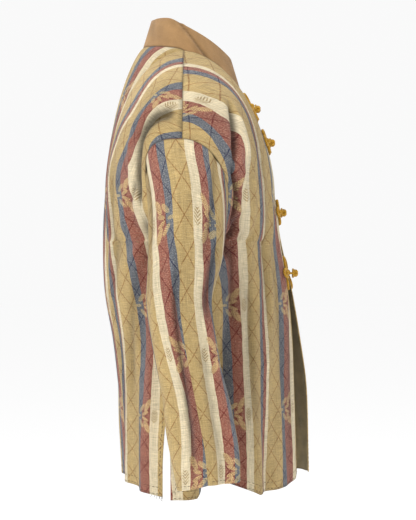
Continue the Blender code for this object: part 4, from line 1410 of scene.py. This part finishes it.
class COAT_OT_sleeves(bpy.types.Operator):
    """Make the two sleeves"""
    bl_idname = "coat.sleeves"
    bl_label = "Sleeves"

    def execute(self, context):
        for side, name in ((RIGHT, "right"), (LEFT, "left")):
            item = shell_object("cloth_sleeve_" + name, sleeve_panel(side), coat_props().wall,
                                closed=True, rows=CUFF_STITCHES)
            dress(item, (MADE["sleeve"], MADE["inside"], MADE["thread"]), ["sleeve_" + name])
        return {"FINISHED"}


class COAT_OT_collar(bpy.types.Operator):
    """Make the stand collar"""
    bl_idname = "coat.collar"
    bl_label = "Collar"

    def execute(self, context):
        props = coat_props()
        MADE["collar"] = plain_material("collar_cloth", tuple(props.collar_colour), 0.85, 0.16)
        item = shell_object("cloth_collar", collar_panel(), props.collar_wall)
        dress(item, (MADE["collar"], MADE["collar"]), ["collar"])
        return {"FINISHED"}


class COAT_OT_frogs(bpy.types.Operator):
    """Make the frogs of twisted cord: loops and a woven knot on the left front, loops and an eye on
    the right front"""
    bl_idname = "coat.frogs"
    bl_label = "Frogs"

    def execute(self, context):
        MADE["cord"] = cord_material("frog_cord", tuple(coat_props().cord_colour))
        panels = {side: half_panel(side, False).grid for side in (RIGHT, LEFT)}
        for number, frog in enumerate(FROGS, 1):
            edge_y = min(cloth_place(panels[side], side, 0.0, frog.z)[0][1] for side in (RIGHT, LEFT))
            for side, part in ((LEFT, "knot"), (RIGHT, "loop")):
                name = "frog_%d_%s" % (number, part)
                item = frog_object("cord_" + name, panels[side], side, frog, edge_y)
                dress(item, (MADE["cord"],), [name])
        return {"FINISHED"}


CAMERA_X = -2.3
CAMERA_Y = -0.025
CAMERA_Z = -0.329
PHOTO_HEIGHT = 520
FOCAL_PIXELS = 1373
SENSOR = 36.0
FLOOR_Z = -1.42
FLOOR_REACH = 30.0
WHITE = (1.0, 1.0, 1.0, 1.0)
WORLD_STRENGTH = 0.95
COAT_MIDDLE = Vector((0.0, 0.0, -0.33))

# The area lights, in watts and metres
Lamp = namedtuple("Lamp", "name place power size")
LAMPS = (
    Lamp("key", (-2.7, 1.7, 2.2), 125.0, 1.3),
    Lamp("fill", (-2.6, -2.8, 0.8), 18.0, 2.2),
    Lamp("rim", (2.8, 1.2, 1.8), 30.0, 1.8),
)


class COAT_OT_stage(bpy.types.Operator):
    """Add the floor, the soft studio light and the camera"""
    bl_idname = "coat.stage"
    bl_label = "Stage"

    def execute(self, context):
        scene = bpy.context.scene
        corners = [(x * FLOOR_REACH, y * FLOOR_REACH, FLOOR_Z)
                   for x, y in ((-1, -1), (1, -1), (1, 1), (-1, 1))]
        floor = mesh_object("floor", corners, [(0, 1, 2, 3)])
        floor.data.materials.append(Graph("pale_floor").finish(WHITE, roughness=1.0, specular=0.0))
        world = bpy.data.worlds.new("studio")
        world.use_nodes = True
        sky = world.node_tree.nodes["Background"]
        sky.inputs["Color"].default_value = WHITE
        sky.inputs["Strength"].default_value = WORLD_STRENGTH
        scene.world = world
        for lamp in LAMPS:
            data = bpy.data.lights.new(lamp.name, "AREA")
            data.energy = lamp.power
            data.size = lamp.size
            item = self.place(lamp.name, data, lamp.place)
            aim = COAT_MIDDLE - item.location
            item.rotation_euler = aim.to_track_quat("-Z", "Y").to_euler()
        camera = bpy.data.cameras.new("camera")
        camera.sensor_fit = "VERTICAL"
        camera.sensor_height = SENSOR
        camera.lens = FOCAL_PIXELS * SENSOR / PHOTO_HEIGHT
        item = self.place("camera", camera, (CAMERA_X, CAMERA_Y, CAMERA_Z))
        item.rotation_euler = (math.pi / 2, 0.0, -math.pi / 2)
        scene.camera = item
        scene.view_settings.view_transform = "Standard"
        return {"FINISHED"}

    def place(self, name, data, location):
        item = bpy.data.objects.new(name, data)
        item.location = location
        bpy.context.scene.collection.objects.link(item)
        return item


class COAT_PT_panel(bpy.types.Panel):
    bl_label = "Striped coat"
    bl_idname = "COAT_PT_panel"
    bl_space_type = "VIEW_3D"
    bl_region_type = "UI"
    bl_category = "Coat"

    def draw(self, context):
        props = context.scene.striped_coat
        for name in ("wall", "collar_wall", "collar_colour", "cord_colour"):
            self.layout.prop(props, name)
        for step in STEPS:
            self.layout.operator(step.bl_idname)


STEPS = (COAT_OT_back, COAT_OT_frays, COAT_OT_fronts, COAT_OT_sleeves, COAT_OT_collar, COAT_OT_frogs,
         COAT_OT_stage)
CLASSES = (CoatProperties,) + STEPS + (COAT_PT_panel,)


def register():
    for item in CLASSES:
        bpy.utils.register_class(item)
    bpy.types.Scene.striped_coat = bpy.props.PointerProperty(type=CoatProperties)


def unregister():
    del bpy.types.Scene.striped_coat
    for item in reversed(CLASSES):
        bpy.utils.unregister_class(item)


def main():
    """Dress the coat and set the stage."""
    register()
    bpy.ops.coat.back()
    bpy.ops.coat.frays()
    bpy.ops.coat.fronts()
    bpy.ops.coat.sleeves()
    bpy.ops.coat.collar()
    bpy.ops.coat.frogs()
    bpy.ops.coat.stage()


if __name__ == "__main__":
    main()
